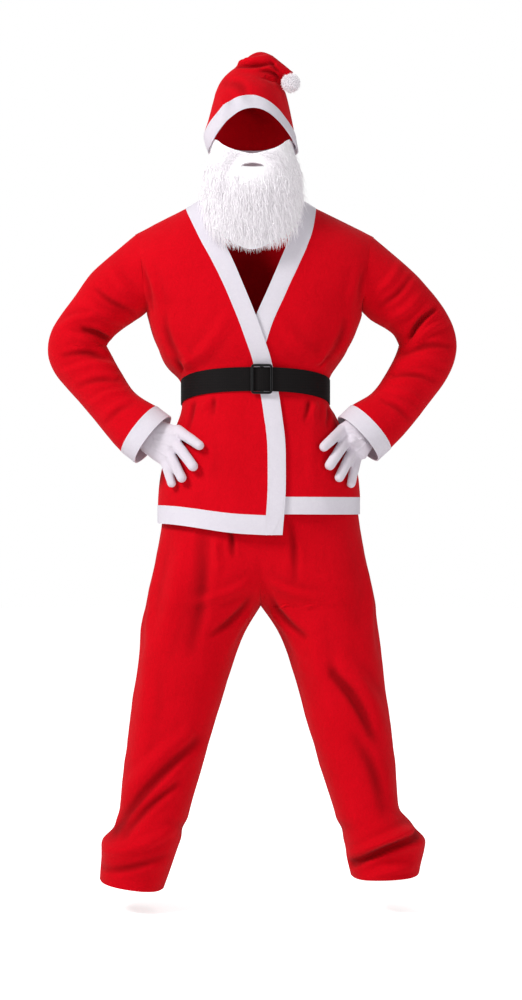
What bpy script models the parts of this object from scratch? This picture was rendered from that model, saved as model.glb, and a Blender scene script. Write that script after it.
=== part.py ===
"""A Santa suit kept in its worn form: felt hat, fur beard, wrap jacket with its belt, trousers and gloves.

X runs to the wearer's left, Y to the back and Z up, in metres. The origin lies midway between the
shoulders, where the wearer carries the jacket. Tables are in millimetres and millimetres become metres
as each piece is made. "Right" and "left" are the wearer's.
"""

import math

import bmesh
import bpy
import numpy as np
from mathutils import Matrix, Vector

# ------------------------------------------------------------------ driving sizes, in millimetres
FELT = 2.0  # one layer of red felt
TRIM = 3.0  # white trim, folded double
TRIM_PROUD = 0.6  # how far trim stands out past the felt that it is sewn to
TRIM_WIDTH = 37.0
SEAM_GAP = 0.3  # between two pieces that are sewn edge to edge
LAP_LIFT = 5.0  # the right front rides this far out where it laps over the left one
BELT_WIDTH = 49.0
WEBBING = 1.6
BELT_CLEAR = 1.5  # from the jacket's own surface to the back of the belt
BELT_SECTION = 9  # the jacket section that the belt lies round
BELT_LAP_STEPS = (45.0, 62.0, 80.0, 98.0, 114.0, 127.0)  # columns of the loose end, from the buckle
BELT_RIGHT_ACROSS = (-128, -112, -95, -78, -60, -42, -26)
SEAM_TOUCH = 0.001
BACK_COLUMNS = 16
BACK_OUTSIDE = 3  # columns of the back that lie outside the neck, each side
BUCKLE_ACROSS = 45.0
BUCKLE_HIGH = 62.0
BUCKLE_BAR = 5.0
BUCKLE_DEEP = 4.4
BUCKLE_X = 12.0
CENTRE_BAR = (4.0, 1.8)  # width, thickness
POMPOM_RADIUS = 20.0
POMPOM_TUFT = 3.0

BODY_POWER = 2.5  # roundness of the jacket's sections: 2 is an ellipse, more is squarer
LEG_POWER = 2.25
CHEST_TOP = -150.0  # above this height the jacket arches back over the shoulders
NECK_HEIGHT = 14.0  # shoulder seams, where the red felt ends at the neck
NECK_SLOPE = 0.62  # the trim climbs this steeply from there towards the neck
NECK_BACK_DEPTH = 92.0
NECK_BACK_HEIGHT = 22.0
NECK_BAND_RISE = 32.0  # from the back neckline up to the band's free edge
NECK_BAND_LEAN = 18.0  # and how far forward that edge leans
SHOULDER_TIP = {-1: (-256.0, -41.0), 1: (250.0, -47.0)}  # side: across, height
UNDERARM_ROW = 16
FRONT_COLUMNS = 9
TRIM_COLUMNS = 2
EDGE_STEP = 12.0  # up and down, over which a front edge's slope is taken
RISE_POWER = 1.3  # how a section climbs from the side seam to the centre front
BACK_RISE = -0.25  # its climb at the centre back, as a share of that at the front

# Jacket sections from the hem to the underarm. Height is at the side seam, rise is how much higher the
# section lies at the centre front, and front and back are its depths from the plane of the side seams.
JACKET_SECTIONS = (
    # height, rise, half_width, centre, front, back
    (-645, 0, 214, 6, 140, 146),
    (-608, 0, 214, 6, 138, 145),
    (-575, 0, 213, 6, 136, 144),
    (-540, 0, 208, 6, 134, 142),
    (-505, 2, 197, 5, 131, 138),
    (-470, 6, 183, 4, 128, 131),
    (-440, 13, 171, 4, 125, 121),
    (-420, 22, 161, 3, 120, 108),
    (-404, 24, 155, -2, 117, 100),
    (-378, 24, 155, -2, 117, 100),
    (-352, 24, 155, -2, 117, 100),
    (-337, 20, 168, -8, 121, 107),
    (-317, 13, 184, -10, 128, 116),
    (-290, 6, 199, -6, 133, 121),
    (-262, 3, 212, -5, 135, 125),
    (-236, 0, 221, -4, 136, 127),
    (-212, 0, 228, -3, 136, 128),
)
# Jacket sections above the underarm. Arch is the angle climbed over the shoulder, half_width that of the
# section if it went on past the armhole, and armhole where the felt ends.
SHOULDER_SECTIONS = (
    # height, arch, half_width, armhole
    (-190, 0, 237, 230),
    (-166, 0, 254, 234),
    (-150, 12, 264, 238),
    (-150, 26, 268, 242),
    (-150, 41, 270, 245),
    (-150, 57, 270, 249),
    (-150, 73, 270, 252),
    (-150, 90, 270, 256),
)
# The free edge of each front, from the shoulder to the hem.
FRONT_EDGE = {
    -1: (
        # height, across
        (36, -111),
        (-55, -74),
        (-109, -46),
        (-164, -24),
        (-222, 0),
        (-301, 28),
        (-386, 49),
        (-462, 61),
        (-564, 62),
        (-676, 52),
    ),
    1: (
        (36, 90),
        (-30, 81),
        (-74, 66),
        (-111, 49),
        (-164, 27),
        (-222, 0),
        (-301, -25),
        (-386, -43),
        (-462, -53),
        (-564, -57),
        (-676, -57),
    ),
}
NECK_POINT = {side: edge[0][1] + side * TRIM_WIDTH for side, edge in FRONT_EDGE.items()}
# Height of the hem at the side seam and at the front edge, measured from the first jacket section.
HEM_DROP = {-1: (-8.0, -31.0), 1: (11.0, 12.0)}

# Sleeves, shoulder to wrist: centre of each ring, its half width in the frontal plane and its half depth.
SLEEVE_RINGS = {
    -1: (
        # across, depth, height, half_width, half_depth
        (-300, 2, -170, 72, 70),
        (-343, 8, -214, 60, 63),
        (-372, 16, -252, 61, 62),
        (-383, 20, -285, 66, 60),
        (-362, 12, -321, 62, 57),
        (-331, -6, -363, 56, 54),
        (-298, -26, -407, 52, 50),
        (-268, -42, -437, 57, 50),
        (-244, -52, -456, 62, 52),
    ),
    1: (
        (290, 2, -172, 70, 70),
        (331, 8, -206, 62, 63),
        (355, 16, -240, 62, 62),
        (367, 20, -276, 64, 60),
        (353, 12, -318, 62, 57),
        (324, -6, -363, 57, 54),
        (290, -26, -409, 55, 50),
        (262, -42, -436, 59, 50),
        (240, -52, -452, 63, 52),
    ),
}
CUFF_LENGTH = 36.0
CUFF_AXIS = {-1: (0.78, -0.2, -0.6), 1: (-0.72, -0.22, -0.66)}

EDGES = {
    # edge: its index, that of the line inside it, and the axis along which they are counted
    "first_row": (0, 1, 0),
    "last_row": (-1, -2, 0),
    "first_column": (0, 1, 1),
    "last_column": (-1, -2, 1),
}

# Trousers. Inner and outer are distances across from the centre seam. Above the crotch the inner one is
# where the section would end if the centre seam didn't cut it.
TROUSER_CENTRE = 10.0
TROUSER_HIPS = (
    # height, inner, outer, front, back
    (-470, -162, 162, 112, 108),
    (-502, -176, 176, 118, 118),
    (-540, -190, 190, 123, 126),
    (-580, -199, 199, 126, 131),
    (-620, -203, 205.3, 128, 134),
    (-656, -190, 209.4, 129, 135),
    (-692, -160, 216, 129, 135),
    (-712, -140, 220, 128, 134),
    (-738, -108, 225, 126, 132.5),
    (-768, -70, 232, 123, 130),
    (-798, -28, 239, 118, 126),
    (-817, -9, 242, 114, 122),
    (-829, 0, 244, 112, 120),
)
TROUSER_LEGS = {
    -1: (
        (-858, 19, 252, 107, 114),
        (-890, 38, 255, 102, 108),
        (-943, 58, 257, 98, 101),
        (-1007, 77, 268, 94, 95),
        (-1071, 96, 278, 91, 91),
        (-1134, 113, 287, 88, 89),
        (-1198, 132, 293, 86, 89),
        (-1240, 145, 297, 86, 91),
        (-1268, 153, 300, 87, 93),
        (-1292, 161, 309, 89, 95),
        (-1314, 168, 328, 93, 97),
        (-1330, 174, 338, 96, 98),
        (-1350, 181, 337, 94, 97),
        (-1372, 189, 338, 92, 96),
        (-1394, 197, 340, 92, 96),
        (-1417, 206, 341, 93, 96),
    ),
    1: (
        (-858, 22, 246, 107, 114),
        (-890, 43, 251, 102, 108),
        (-943, 62, 257, 98, 101),
        (-1007, 82, 263, 94, 95),
        (-1071, 97, 275, 91, 91),
        (-1134, 114, 284, 88, 89),
        (-1198, 135, 288, 86, 89),
        (-1240, 149, 290, 86, 91),
        (-1264, 157, 293, 88, 94),
        (-1286, 164, 318, 92, 97),
        (-1306, 171, 338, 97, 99),
        (-1324, 177, 350, 101, 100),
        (-1340, 180, 348, 96, 98),
        (-1356, 181, 345, 92, 96),
        (-1374, 185, 341, 94, 96),
        (-1396, 191, 336, 97, 96),
    ),
}
TROUSER_HEM_TILT = {-1: 20.0, 1: 5.0}  # how much lower the hem is at the inseam than at the side seam
WAISTBAND_TAPER = 0.965
WAISTBAND_HEIGHT = 32.0

# Hat rings from the trim's lower edge to the tip. The rises are how much higher a ring is at its front and
# at its back, and roll leans it over to the wearer's left, where the tip folds down.
HAT_RINGS = (
    # across, depth, height, half_width, half_depth, front_rise, back_rise, roll
    (-6, 0, 134, 97, 108, 79, -16, 0),
    (-11, 1, 150, 99, 111, 76, -16, 0),
    (-14, 2, 166, 99, 113, 73, -14, 0),
    (-12, 6, 200, 90, 108, 55, -8, 0),
    (-12, 8, 237, 82, 98, 30, 0, 0),
    (-10, 9, 261, 75, 87, 15, 0, 3),
    (-8, 9, 277, 69, 77, 7, 0, 8),
    (1, 8, 287, 59, 66, 3, 0, 17),
    (14, 5, 299, 52, 56, 0, 0, 36),
    (28, 2, 309, 48, 47, 0, 0, 57),
    (41, -2, 307, 40, 38, 0, 0, 69),
    (58, -10, 296, 25, 25, 0, 0, 82),
    (67, -20, 291, 15, 14, 0, 0, 140),
    (73, -33, 284, 5, 5, 0, 0, 150),
)
HAT_TRIM_ROW = 2
POMPOM_CENTRE = (73.0, -55.0, 270.3)

# Beard, ear to ear: half width, side depth and front depth of its face at each height.
BEARD_SECTIONS = (
    # height, half_width, side, front
    (-95, 103, -114, -157),
    (-30, 103, -80, -163),
    (10, 103, -57, -164),
    (43, 104, -47, -160),
    (80, 102, -46, -150),
    (108, 98, -34, -138),
    (135, 88, -26, -122),
    (168, 80, -20, -100),
)
BEARD_CENTRE = -8.0
BEARD_TOP = ((0, 110), (16, 117), (33, 127), (50, 140), (68, 152), (90, 158))  # angle, height
BEARD_BOTTOM = ((0, -90), (11, -86), (26, -70), (51, -42), (63, -27), (82, 12), (90, 40))
BEARD_THICK = 20.0
BEARD_EDGE = 7.0
BEARD_LOCK = 2.5  # height of the fur's largest locks
MOUTH = ((-6.5, 83.0), (25.0, 9.5))  # centre, half sizes
STRAP_RING = (-10.5, 1.0, 93.25, 105.0)  # across, depth, half width, half depth
STRAP_WIDTH = 8.0
STRAP_THICK = 1.5
STRAP_INSET = 2.5  # from the beard's face

# Gloves. Each finger's root, tip and the radii there; its depth follows from the jacket that it rests on.
GLOVE_FINGERS = {
    -1: (
        # across, height, across, height, root_radius, tip_radius
        (-163, -459, -117, -491, 12.0, 10.0),
        (-170, -482, -130, -534, 12.0, 10.5),
        (-179, -509, -154, -558, 11.5, 10.0),
        (-189, -523, -175, -569, 11.0, 9.0),
    ),
    1: (
        (184, -454, 141, -494, 12.0, 10.0),
        (193, -473, 153, -532, 12.0, 10.5),
        (203, -500, 173, -557, 11.5, 10.0),
        (210, -517, 198, -570, 11.0, 9.0),
    ),
}
# Thumbs lie behind: root, middle and tip.
GLOVE_THUMB = {
    -1: ((-193, -84, -482), (-190, -62, -478), (-189, -42, -477)),
    1: ((202, -82, -478), (198, -64, -476), (196, -48, -477)),
}
THUMB_RADIUS = (12.0, 10.0)
# Rings of the hand from inside the cuff to the knuckles.
GLOVE_HAND = {
    -1: (
        # across, depth, height, half_width, half_thickness
        (-250, -48, -452, 31, 25),
        (-226, -60, -466, 36, 23),
        (-203, -74, -479, 41, 19),
        (-181, -91, -494, 45, 16),
    ),
    1: (
        (250, -48, -448, 31, 25),
        (230, -60, -460, 36, 23),
        (213, -74, -470, 42, 19),
        (202, -86, -487, 46, 16),
    ),
}
PAST_WRIST = 0.8  # the hollow runs out of the wrist by this share of the hand's first stretch
GLOVE_WALL = 1.4
GLOVE_REST = {-1: 0.6, 1: 0.2}  # between a fingertip and the jacket's true section
FINGER_ARCH = 2.5  # how much further off the jacket a finger's root is

# Largest folds of each garment: start and end of the fold's line, its half width, and its height, which
# is negative for a trough.
JACKET_FOLDS = (
    # across, depth, height, across, depth, height, half_width, rise
    (-150, -60, -326, -95, -120, -270, 16, 5),
    (150, -60, -326, 95, -125, -262, 16, 5),
    (165, -20, -330, 160, -90, -270, 14, -6),
    (-165, -20, -330, -160, -90, -270, 14, -5),
    (150, -70, -436, 165, -80, -510, 15, -6),
    (112, -100, -412, 118, -118, -510, 16, 5),
    (-150, -70, -436, -160, -80, -510, 15, -5),
    (70, 95, -330, 60, 120, -250, 18, 7),
    (-70, 95, -330, -60, 120, -250, 18, 7),
    (0, 100, -330, 0, 125, -260, 18, -6),
    (120, 75, -335, 150, 90, -260, 16, -6),
    (-120, 75, -335, -150, 90, -260, 16, -6),
    (95, 90, -438, 110, 140, -560, 18, 7),
    (-95, 90, -438, -110, 140, -560, 18, 7),
    (35, 100, -438, 42, 146, -560, 16, -6),
    (-35, 100, -438, -42, 146, -560, 16, -6),
)
SLEEVE_FOLDS = (
    (-320, -50, -268, -372, -30, -240, 13, -8),
    (-325, -45, -292, -385, -40, -282, 13, 8),
    (-322, -40, -312, -380, -40, -318, 13, -7),
    (-330, 70, -250, -380, 75, -290, 15, 8),
    (-300, -60, -395, -325, -40, -425, 14, 5),
    (318, -50, -262, 362, -30, -232, 13, -9),
    (322, -45, -286, 384, -40, -278, 13, 8),
    (320, -40, -310, 378, -40, -318, 13, -7),
    (330, 70, -250, 380, 75, -290, 15, 8),
    (298, -60, -395, 322, -40, -425, 14, 5),
)
TROUSER_FOLDS = (
    (-66, -135, -665, -84, -128, -735, 15, -7),
    (-20, -135, -690, -110, -120, -860, 22, 4),
    (300, -85, -1010, 335, -70, -1180, 26, -9),
    (-175, -90, -1215, -318, -60, -1318, 26, -10),
    (-190, -95, -1365, -330, -60, -1352, 18, 5),
    (346, -80, -1326, 212, -95, -1382, 15, -15),
    (352, -60, -1300, 200, -95, -1348, 16, 7),
    (-200, 90, -1240, -310, 80, -1320, 24, -9),
    (230, 90, -1240, 345, 80, -1310, 24, -9),
    (60, 135, -800, 150, 120, -880, 22, -7),
    (-40, 135, -800, -130, 120, -880, 22, -7),
    (250, -60, -880, 215, -105, -800, 22, -5),
)
HAT_FOLDS = (
    (-52, -70, 300, 22, -46, 304, 9, -6),
    (6, -62, 288, 40, -36, 272, 8, -7),
    (30, -50, 262, 52, -40, 232, 9, -5),
    (-60, 70, 285, 20, 50, 292, 12, -6),
    (-84, -30, 250, -70, -62, 222, 12, 4),
)

COLOURS = {
    # colour, roughness, metallic
    "red_felt": ((0.66, 0.004, 0.012), 0.95, 0.0),
    "white_trim": ((0.80, 0.76, 0.80), 0.95, 0.0),
    "white_fur": ((0.82, 0.79, 0.81), 0.9, 0.0),
    "glove_cotton": ((0.80, 0.77, 0.80), 0.9, 0.0),
    "black_webbing": ((0.012, 0.010, 0.012), 0.7, 0.0),
    "black_plastic": ((0.008, 0.008, 0.009), 0.25, 0.0),
}

TO_METRES = 0.001
DIAGONAL_RULE = np.array((1.0, 0.37, 2.1))


# ------------------------------------------------------------------ scene and materials
def clear_scene():
    for obj in list(bpy.data.objects):
        bpy.data.objects.remove(obj)


def collection_of(name):
    made = bpy.data.collections.new(name)
    bpy.context.scene.collection.children.link(made)
    return made


def material_of(name):
    found = bpy.data.materials.get(name)
    if found:
        return found
    colour, roughness, metallic = COLOURS[name]
    made = bpy.data.materials.new(name)
    made.use_nodes = True
    shader = made.node_tree.nodes["Principled BSDF"]
    shader.inputs["Base Color"].default_value = (*colour, 1.0)
    shader.inputs["Roughness"].default_value = roughness
    shader.inputs["Metallic"].default_value = metallic
    return made


def add_object(name, mesh, material, collection):
    obj = bpy.data.objects.new(name, mesh)
    obj.data.materials.clear()
    obj.data.materials.append(material_of(material))
    collection.objects.link(obj)
    return obj


def shade_round(obj, angle=40.0):
    obj.data.shade_smooth()
    obj.data.set_sharp_from_angle(angle=math.radians(angle))


# ------------------------------------------------------------------ numbers
def smooth_step(value):
    value = np.clip(value, 0.0, 1.0)
    return value * value * (3.0 - 2.0 * value)


def along(table, position):
    """A smooth reading of a table's rows at a position counted in rows."""
    rows = np.asarray(table, float)
    last = len(rows) - 1
    low = int(min(max(math.floor(position), 0), last - 1))
    part = position - low
    before, start = rows[max(low - 1, 0)], rows[low]
    end, after = rows[low + 1], rows[min(low + 2, last)]
    leave, arrive = (end - before) / 2.0, (after - start) / 2.0
    square, cube = part * part, part * part * part
    return (
        start * (2 * cube - 3 * square + 1)
        + leave * (cube - 2 * square + part)
        + end * (3 * square - 2 * cube)
        + arrive * (cube - square)
    )


def read_at(pairs, key):
    """The second column of a two-column table at a value of the first."""
    rows = sorted(pairs)
    return float(np.interp(key, [row[0] for row in rows], [row[1] for row in rows]))


def superellipse(angle, power):
    """(across, forward) on a unit superellipse; 0 is its side and 90 degrees its front."""
    cosine, sine = math.cos(angle), math.sin(angle)
    return (
        math.copysign(abs(cosine) ** (2.0 / power), cosine),
        math.copysign(abs(sine) ** (2.0 / power), sine),
    )


def section_angle(share, power):
    """The superellipse's angle where its width has this share of the half width."""
    share = max(-1.0, min(1.0, share))
    turned = math.acos(abs(share) ** (power / 2.0))
    return turned if share >= 0 else math.pi - turned


# ------------------------------------------------------------------ cloth: grids of points and their walls
def grid_quads(rows, columns, closed):
    last = columns if closed else columns - 1
    return [
        (
            row * columns + column,
            row * columns + (column + 1) % columns,
            (row + 1) * columns + (column + 1) % columns,
            (row + 1) * columns + column,
        )
        for row in range(rows - 1)
        for column in range(last)
    ]


def sewn_normals(grids):
    """Outward normals, shared where points of two grids coincide, so that walls meet in a mitre."""
    totals, keys_of = {}, {}
    for name, (points, closed) in grids.items():
        flat = points.reshape(-1, 3)
        keys = [tuple(key) for key in np.round(flat, 2)]
        keys_of[name] = keys
        for quad in grid_quads(points.shape[0], points.shape[1], closed):
            corners = flat[list(quad)]
            face = np.cross(corners[2] - corners[0], corners[3] - corners[1])
            size = np.linalg.norm(face)
            if size > 1e-9:
                for corner in quad:
                    totals[keys[corner]] = totals.get(keys[corner], np.zeros(3)) + face / size
    return {
        name: np.array(
            [totals[key] / max(np.linalg.norm(totals[key]), 1e-9) for key in keys_of[name]]
        ).reshape(points.shape)
        for name, (points, closed) in grids.items()
    }


def folded(points, normals, folds):
    """The points moved along their normals by a table of folds."""
    moved = points.copy()
    for x0, y0, z0, x1, y1, z1, half_width, rise in folds:
        start, end = np.array((x0, y0, z0), float), np.array((x1, y1, z1), float)
        line = end - start
        share = np.clip(((points - start) @ line) / (line @ line), 0.0, 1.0)
        away = np.linalg.norm(points - start - share[..., None] * line, axis=-1)
        height = rise * np.exp(-((away / half_width) ** 2)) * (0.25 + 0.75 * np.sin(math.pi * share))
        moved += normals * height[..., None]
    return moved


def fold_all(grids, folds):
    normals = sewn_normals(grids)
    return {
        name: (folded(points, normals[name], folds), closed)
        for name, (points, closed) in grids.items()
    }


def set_back(points, edges):
    """The grid with the named edges drawn in by half a seam gap."""
    made = points.copy()
    for edge in edges:
        outer, inner, axis = EDGES[edge]
        rim = np.take(points, outer, axis=axis)
        step = np.take(points, inner, axis=axis) - rim
        step *= (SEAM_GAP / 2.0) / np.maximum(np.linalg.norm(step, axis=-1, keepdims=True), 1e-9)
        if axis == 0:
            made[outer] += step
        else:
            made[:, outer] += step
    return made


def wall_mesh(name, outer, inner, closed):
    """A closed wall between two grids. Solidify would give each panel its own edge normals, and walls
    that are sewn edge to edge would cross."""
    rows, columns = outer.shape[:2]
    count = rows * columns
    quads = grid_quads(rows, columns, closed)
    faces = list(quads) + [tuple(count + corner for corner in reversed(quad)) for quad in quads]
    rims = [[(0, column) for column in range(columns)]]
    rims.append([(rows - 1, column) for column in range(columns)][::-1])
    if closed:
        rims = [rims[0] + [rims[0][0]], rims[1] + [rims[1][0]]]
    else:
        rims.append([(row, 0) for row in range(rows)][::-1])
        rims.append([(row, columns - 1) for row in range(rows)])
    points = np.concatenate([outer.reshape(-1, 3), inner.reshape(-1, 3)]) * TO_METRES
    for rim in rims:
        corners = [row * columns + column for row, column in rim]
        for a, b in zip(corners, corners[1:]):
            # two walls that meet here cut their end faces along the same diagonal
            if (points[a] - points[b]) @ DIAGONAL_RULE > 0:
                faces += [(b, a, count + a), (b, count + a, count + b)]
            else:
                faces += [(b, a, count + b), (a, count + a, count + b)]
    mesh = bpy.data.meshes.new(name)
    mesh.from_pydata([tuple(point) for point in points], [], faces)
    mesh.validate()
    return mesh


def cloth(name, points, normals, material, collection, seams=(), thick=FELT, proud=0.0, closed=False):
    """A piece of cloth: its face lies proud of the points, and its back a thickness behind that."""
    drawn_in = set_back(points, seams)
    outer = drawn_in + normals * proud
    inner = drawn_in + normals * (proud - thick)
    obj = add_object(name, wall_mesh(name, outer, inner, closed), material, collection)
    shade_round(obj)
    return obj


# ------------------------------------------------------------------ jacket
def shoulder_height(across, side):
    """Height of the shoulder's ridge at a place across it."""
    tip, tip_height = SHOULDER_TIP[side]
    neck = NECK_POINT[side]
    past = (across - neck) * side
    if past >= 0:
        return NECK_HEIGHT + (tip_height - NECK_HEIGHT) * past / ((tip - neck) * side)
    return NECK_HEIGHT - NECK_SLOPE * past


def body_section(height):
    """(rise, half width, centre, front, back) of the jacket's section at a height."""
    rows = np.array(JACKET_SECTIONS, float)
    return [float(np.interp(height, rows[:, 0], rows[:, column])) for column in range(1, 6)]


def jacket_point(row, across, side, front, drop=0.0):
    """A point of the jacket on a row of its sections; front is 1 before the side seams and -1 behind."""
    if row <= UNDERARM_ROW:
        height = JACKET_SECTIONS[row][0] + drop
        rise, half_width, centre, front_depth, back_depth = body_section(height)
        share = (across - centre) * side / half_width
        if (across - jacket_end(row, side)) * side > -SEAM_TOUCH:
            share = 1.0  # front and back meet at the side seam, however far the hem has dropped
        _, depth = superellipse(section_angle(share, BODY_POWER), BODY_POWER)
        reach = front_depth if front > 0 else back_depth
        climb = rise * depth**RISE_POWER * (1.0 if front > 0 else BACK_RISE)
        return np.array((across, -front * reach * depth, height + climb))
    height, arch, half_width, _ = SHOULDER_SECTIONS[row - UNDERARM_ROW - 1]
    _, _, _, centre, front_depth, back_depth = JACKET_SECTIONS[UNDERARM_ROW]
    angle = section_angle((across - centre) * side / half_width, BODY_POWER)
    _, depth = superellipse(angle, BODY_POWER)
    reach = front_depth if front > 0 else back_depth
    turned = math.radians(arch)
    ridge = shoulder_height(across, side)
    climb = (ridge - CHEST_TOP) * math.sin(turned) if arch else 0.0
    return np.array((across, -front * reach * depth * math.cos(turned), height + climb))


def jacket_end(row, side):
    """Where the felt of a row ends: at the side seam, or at the armhole above it."""
    if row <= UNDERARM_ROW:
        _, _, half_width, centre, _, _ = JACKET_SECTIONS[row]
        return centre + side * half_width
    _, _, _, armhole = SHOULDER_SECTIONS[row - UNDERARM_ROW - 1]
    return side * armhole * SHOULDER_TIP[side][0] * side / SHOULDER_SECTIONS[-1][3]


def front_edges(row, side):
    """Across positions of a front's free edge and of the seam of its trim, on one row."""
    if row == jacket_rows() - 1:
        return FRONT_EDGE[side][0][1], NECK_POINT[side]
    across = read_at(FRONT_EDGE[side], JACKET_SECTIONS[min(row, UNDERARM_ROW)][0])
    for _ in range(12):
        height = jacket_point(row, across, side, 1)[2]
        across = 0.5 * (across + read_at(FRONT_EDGE[side], height))
    above = read_at(FRONT_EDGE[side], height + EDGE_STEP)
    below = read_at(FRONT_EDGE[side], height - EDGE_STEP)
    slope = (above - below) / (2.0 * EDGE_STEP)
    return across, across + side * TRIM_WIDTH * math.hypot(1.0, slope)


def row_span(row):
    """(half width, centre) of one row's section."""
    centre = JACKET_SECTIONS[min(row, UNDERARM_ROW)][3]
    if row <= UNDERARM_ROW:
        return JACKET_SECTIONS[row][2], centre
    return SHOULDER_SECTIONS[row - UNDERARM_ROW - 1][2], centre


def hem_drop(across, row, side, front):
    """The hem hangs unevenly; the unevenness fades out below the belt."""
    if row > 8:
        return 0.0
    at_side, at_edge = HEM_DROP[side]
    _, _, half_width, centre, _, _ = JACKET_SECTIONS[row]
    share = np.clip((across - centre) * side / half_width, -0.4, 1.0)
    if front > 0:
        drop = at_edge + (at_side - at_edge) * smooth_step(share)
    else:
        middle = 0.5 * (HEM_DROP[-1][0] + HEM_DROP[1][0])
        drop = middle + (at_side - middle) * share
    return drop * (1.0 - row / 9.0)


def lap(point):
    """How far the right front rides out over the left one."""
    inwards = smooth_step((point[0] + 112.0) / 50.0)
    below = smooth_step((-125.0 - point[2]) / 70.0)
    return LAP_LIFT * inwards * below


def jacket_rows():
    return len(JACKET_SECTIONS) + len(SHOULDER_SECTIONS)


def front_grid(side, columns, part):
    """Points of one front: its felt from the trim's seam to the side, or its trim."""
    grid = []
    for row in range(jacket_rows()):
        free, seam = front_edges(row, side)
        end = jacket_end(row, side)
        half_width, centre = row_span(row)
        first, last = (free, seam) if part == "trim" else (seam, end)
        from_angle = section_angle((first - centre) * side / half_width, BODY_POWER)
        to_angle = section_angle((last - centre) * side / half_width, BODY_POWER)
        line = []
        for column in range(columns + 1):
            share = column / columns
            if part == "trim":
                across = first + (last - first) * share
            else:
                angle = from_angle + (to_angle - from_angle) * share
                across = centre + side * half_width * superellipse(angle, BODY_POWER)[0]
            if column == columns:
                across = last
            point = jacket_point(row, across, side, 1, hem_drop(across, row, side, 1))
            if side < 0:
                point[1] -= lap(point)
            line.append(point)
        grid.append(line if side > 0 else line[::-1])
    return np.array(grid)


def back_shares():
    """Where the back's columns lie, right to left, as shares of the way from its middle to its side."""
    inside = BACK_COLUMNS // 2 - BACK_OUTSIDE
    halves = {}
    for side in (-1, 1):
        neck_share = NECK_POINT[side] / SHOULDER_TIP[side][0]
        shares = [neck_share * step / inside for step in range(inside)]
        shares += [neck_share + (1.0 - neck_share) * step / BACK_OUTSIDE for step in range(BACK_OUTSIDE + 1)]
        halves[side] = shares
    return [-share for share in halves[-1][:0:-1]] + halves[1]


def back_turn(share):
    """The section's angle, in degrees, where a column of the back lies below the arms."""
    return 90.0 * (1.0 - abs(share) ** 1.15)


def back_grid():
    """Points of the back, right side seam to left, with the neckline along the top of its middle."""
    grid = []
    for row in range(jacket_rows()):
        line = []
        for share in back_shares():
            side = 1 if share > 0 else -1
            end = jacket_end(row, side)
            if row <= UNDERARM_ROW:
                _, _, half_width, centre, _, _ = JACKET_SECTIONS[row]
                angle = math.radians(back_turn(share))
                across = centre + side * half_width * superellipse(angle, BODY_POWER)[0]
                blend = smooth_step((row - 9) / (UNDERARM_ROW - 9.0))
                across = across * (1.0 - blend) + blend * (centre + (end - centre) * abs(share))
            else:
                across = end * abs(share)
            point = jacket_point(row, across, side, -1, hem_drop(across, row, side, -1))
            if row > UNDERARM_ROW:
                point = neck_cut(row, across, side, point)
            line.append(point)
        grid.append(line)
    return np.array(grid)[:, ::-1]


def neck_cut(row, across, side, point):
    """Rows behind the neck stop at the neckline instead of climbing to the shoulder's ridge."""
    neck = NECK_POINT[side]
    if across * side >= neck * side:
        return point
    share = across / neck
    top = np.array((across, NECK_BACK_DEPTH * math.sqrt(1.0 - share**2), 0.0))
    top[2] = NECK_HEIGHT + (NECK_BACK_HEIGHT - NECK_HEIGHT) * (1.0 - share**2)
    base = jacket_point(UNDERARM_ROW + 2, across, side, -1)
    _, arch, _, _ = SHOULDER_SECTIONS[row - UNDERARM_ROW - 1]
    climb = math.sin(math.radians(arch))
    swing = 1.0 - math.cos(math.radians(arch))
    if not arch:
        return point
    height = base[2] + (top[2] - base[2]) * climb
    return np.array((across, base[1] + (top[1] - base[1]) * swing, height))


def neck_trim_grid(back, rings=2):
    """The band round the back of the neck, from the back's neckline up to its free edge."""
    seam = back[-1, BACK_OUTSIDE : BACK_COLUMNS + 1 - BACK_OUTSIDE]
    side_of = [1 if point[0] > 0 else -1 for point in seam]
    free = []
    for point, side in zip(seam, side_of):
        edge, _ = front_edges(jacket_rows() - 1, side)
        share = point[0] / NECK_POINT[side]
        lean = math.sqrt(max(0.0, 1.0 - share**2))
        edge_height = jacket_point(jacket_rows() - 1, edge, side, 1)[2]
        height = edge_height + (NECK_BACK_HEIGHT + NECK_BAND_RISE - edge_height) * lean
        free.append((edge * share, (NECK_BACK_DEPTH - NECK_BAND_LEAN) * lean, height))
    free = np.array(free)
    return np.array([seam + (free - seam) * ring / rings for ring in range(rings + 1)])


def armhole_ring(front, back, side):
    """The armhole, from the shoulder down its front, under the arm and up its back."""
    column = -1 if side > 0 else 0
    down_front = front[UNDERARM_ROW:, column][::-1]
    up_back = back[UNDERARM_ROW + 1 :, 0 if side > 0 else -1]
    return np.concatenate([down_front, up_back[:-1]])


def sleeve_frames(side, steps):
    """Rings along the arm as (centre, half width, half depth, outward, forward)."""
    table = SLEEVE_RINGS[side]
    count = (len(table) - 1) * steps
    rows = [along(table, step / steps) for step in range(count + 1)]
    frames = []
    for index, row in enumerate(rows):
        before, after = rows[max(index - 1, 0)], rows[min(index + 1, count)]
        tangent = (after - before)[:3]
        if index == count:
            tangent = np.array(CUFF_AXIS[side])
        tangent = tangent / np.linalg.norm(tangent)
        forward = np.array((0.0, -1.0, 0.0))
        forward = forward - tangent * (forward @ tangent)
        forward /= np.linalg.norm(forward)
        outward = np.cross(tangent, forward) * -side
        frames.append((row[:3], row[3], row[4], outward, forward))
    return frames


def ring_points(frame, angles):
    centre, half_width, half_depth, outward, forward = frame
    return np.array(
        [
            centre + outward * half_width * math.cos(angle) + forward * half_depth * math.sin(angle)
            for angle in angles
        ]
    )


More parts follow.
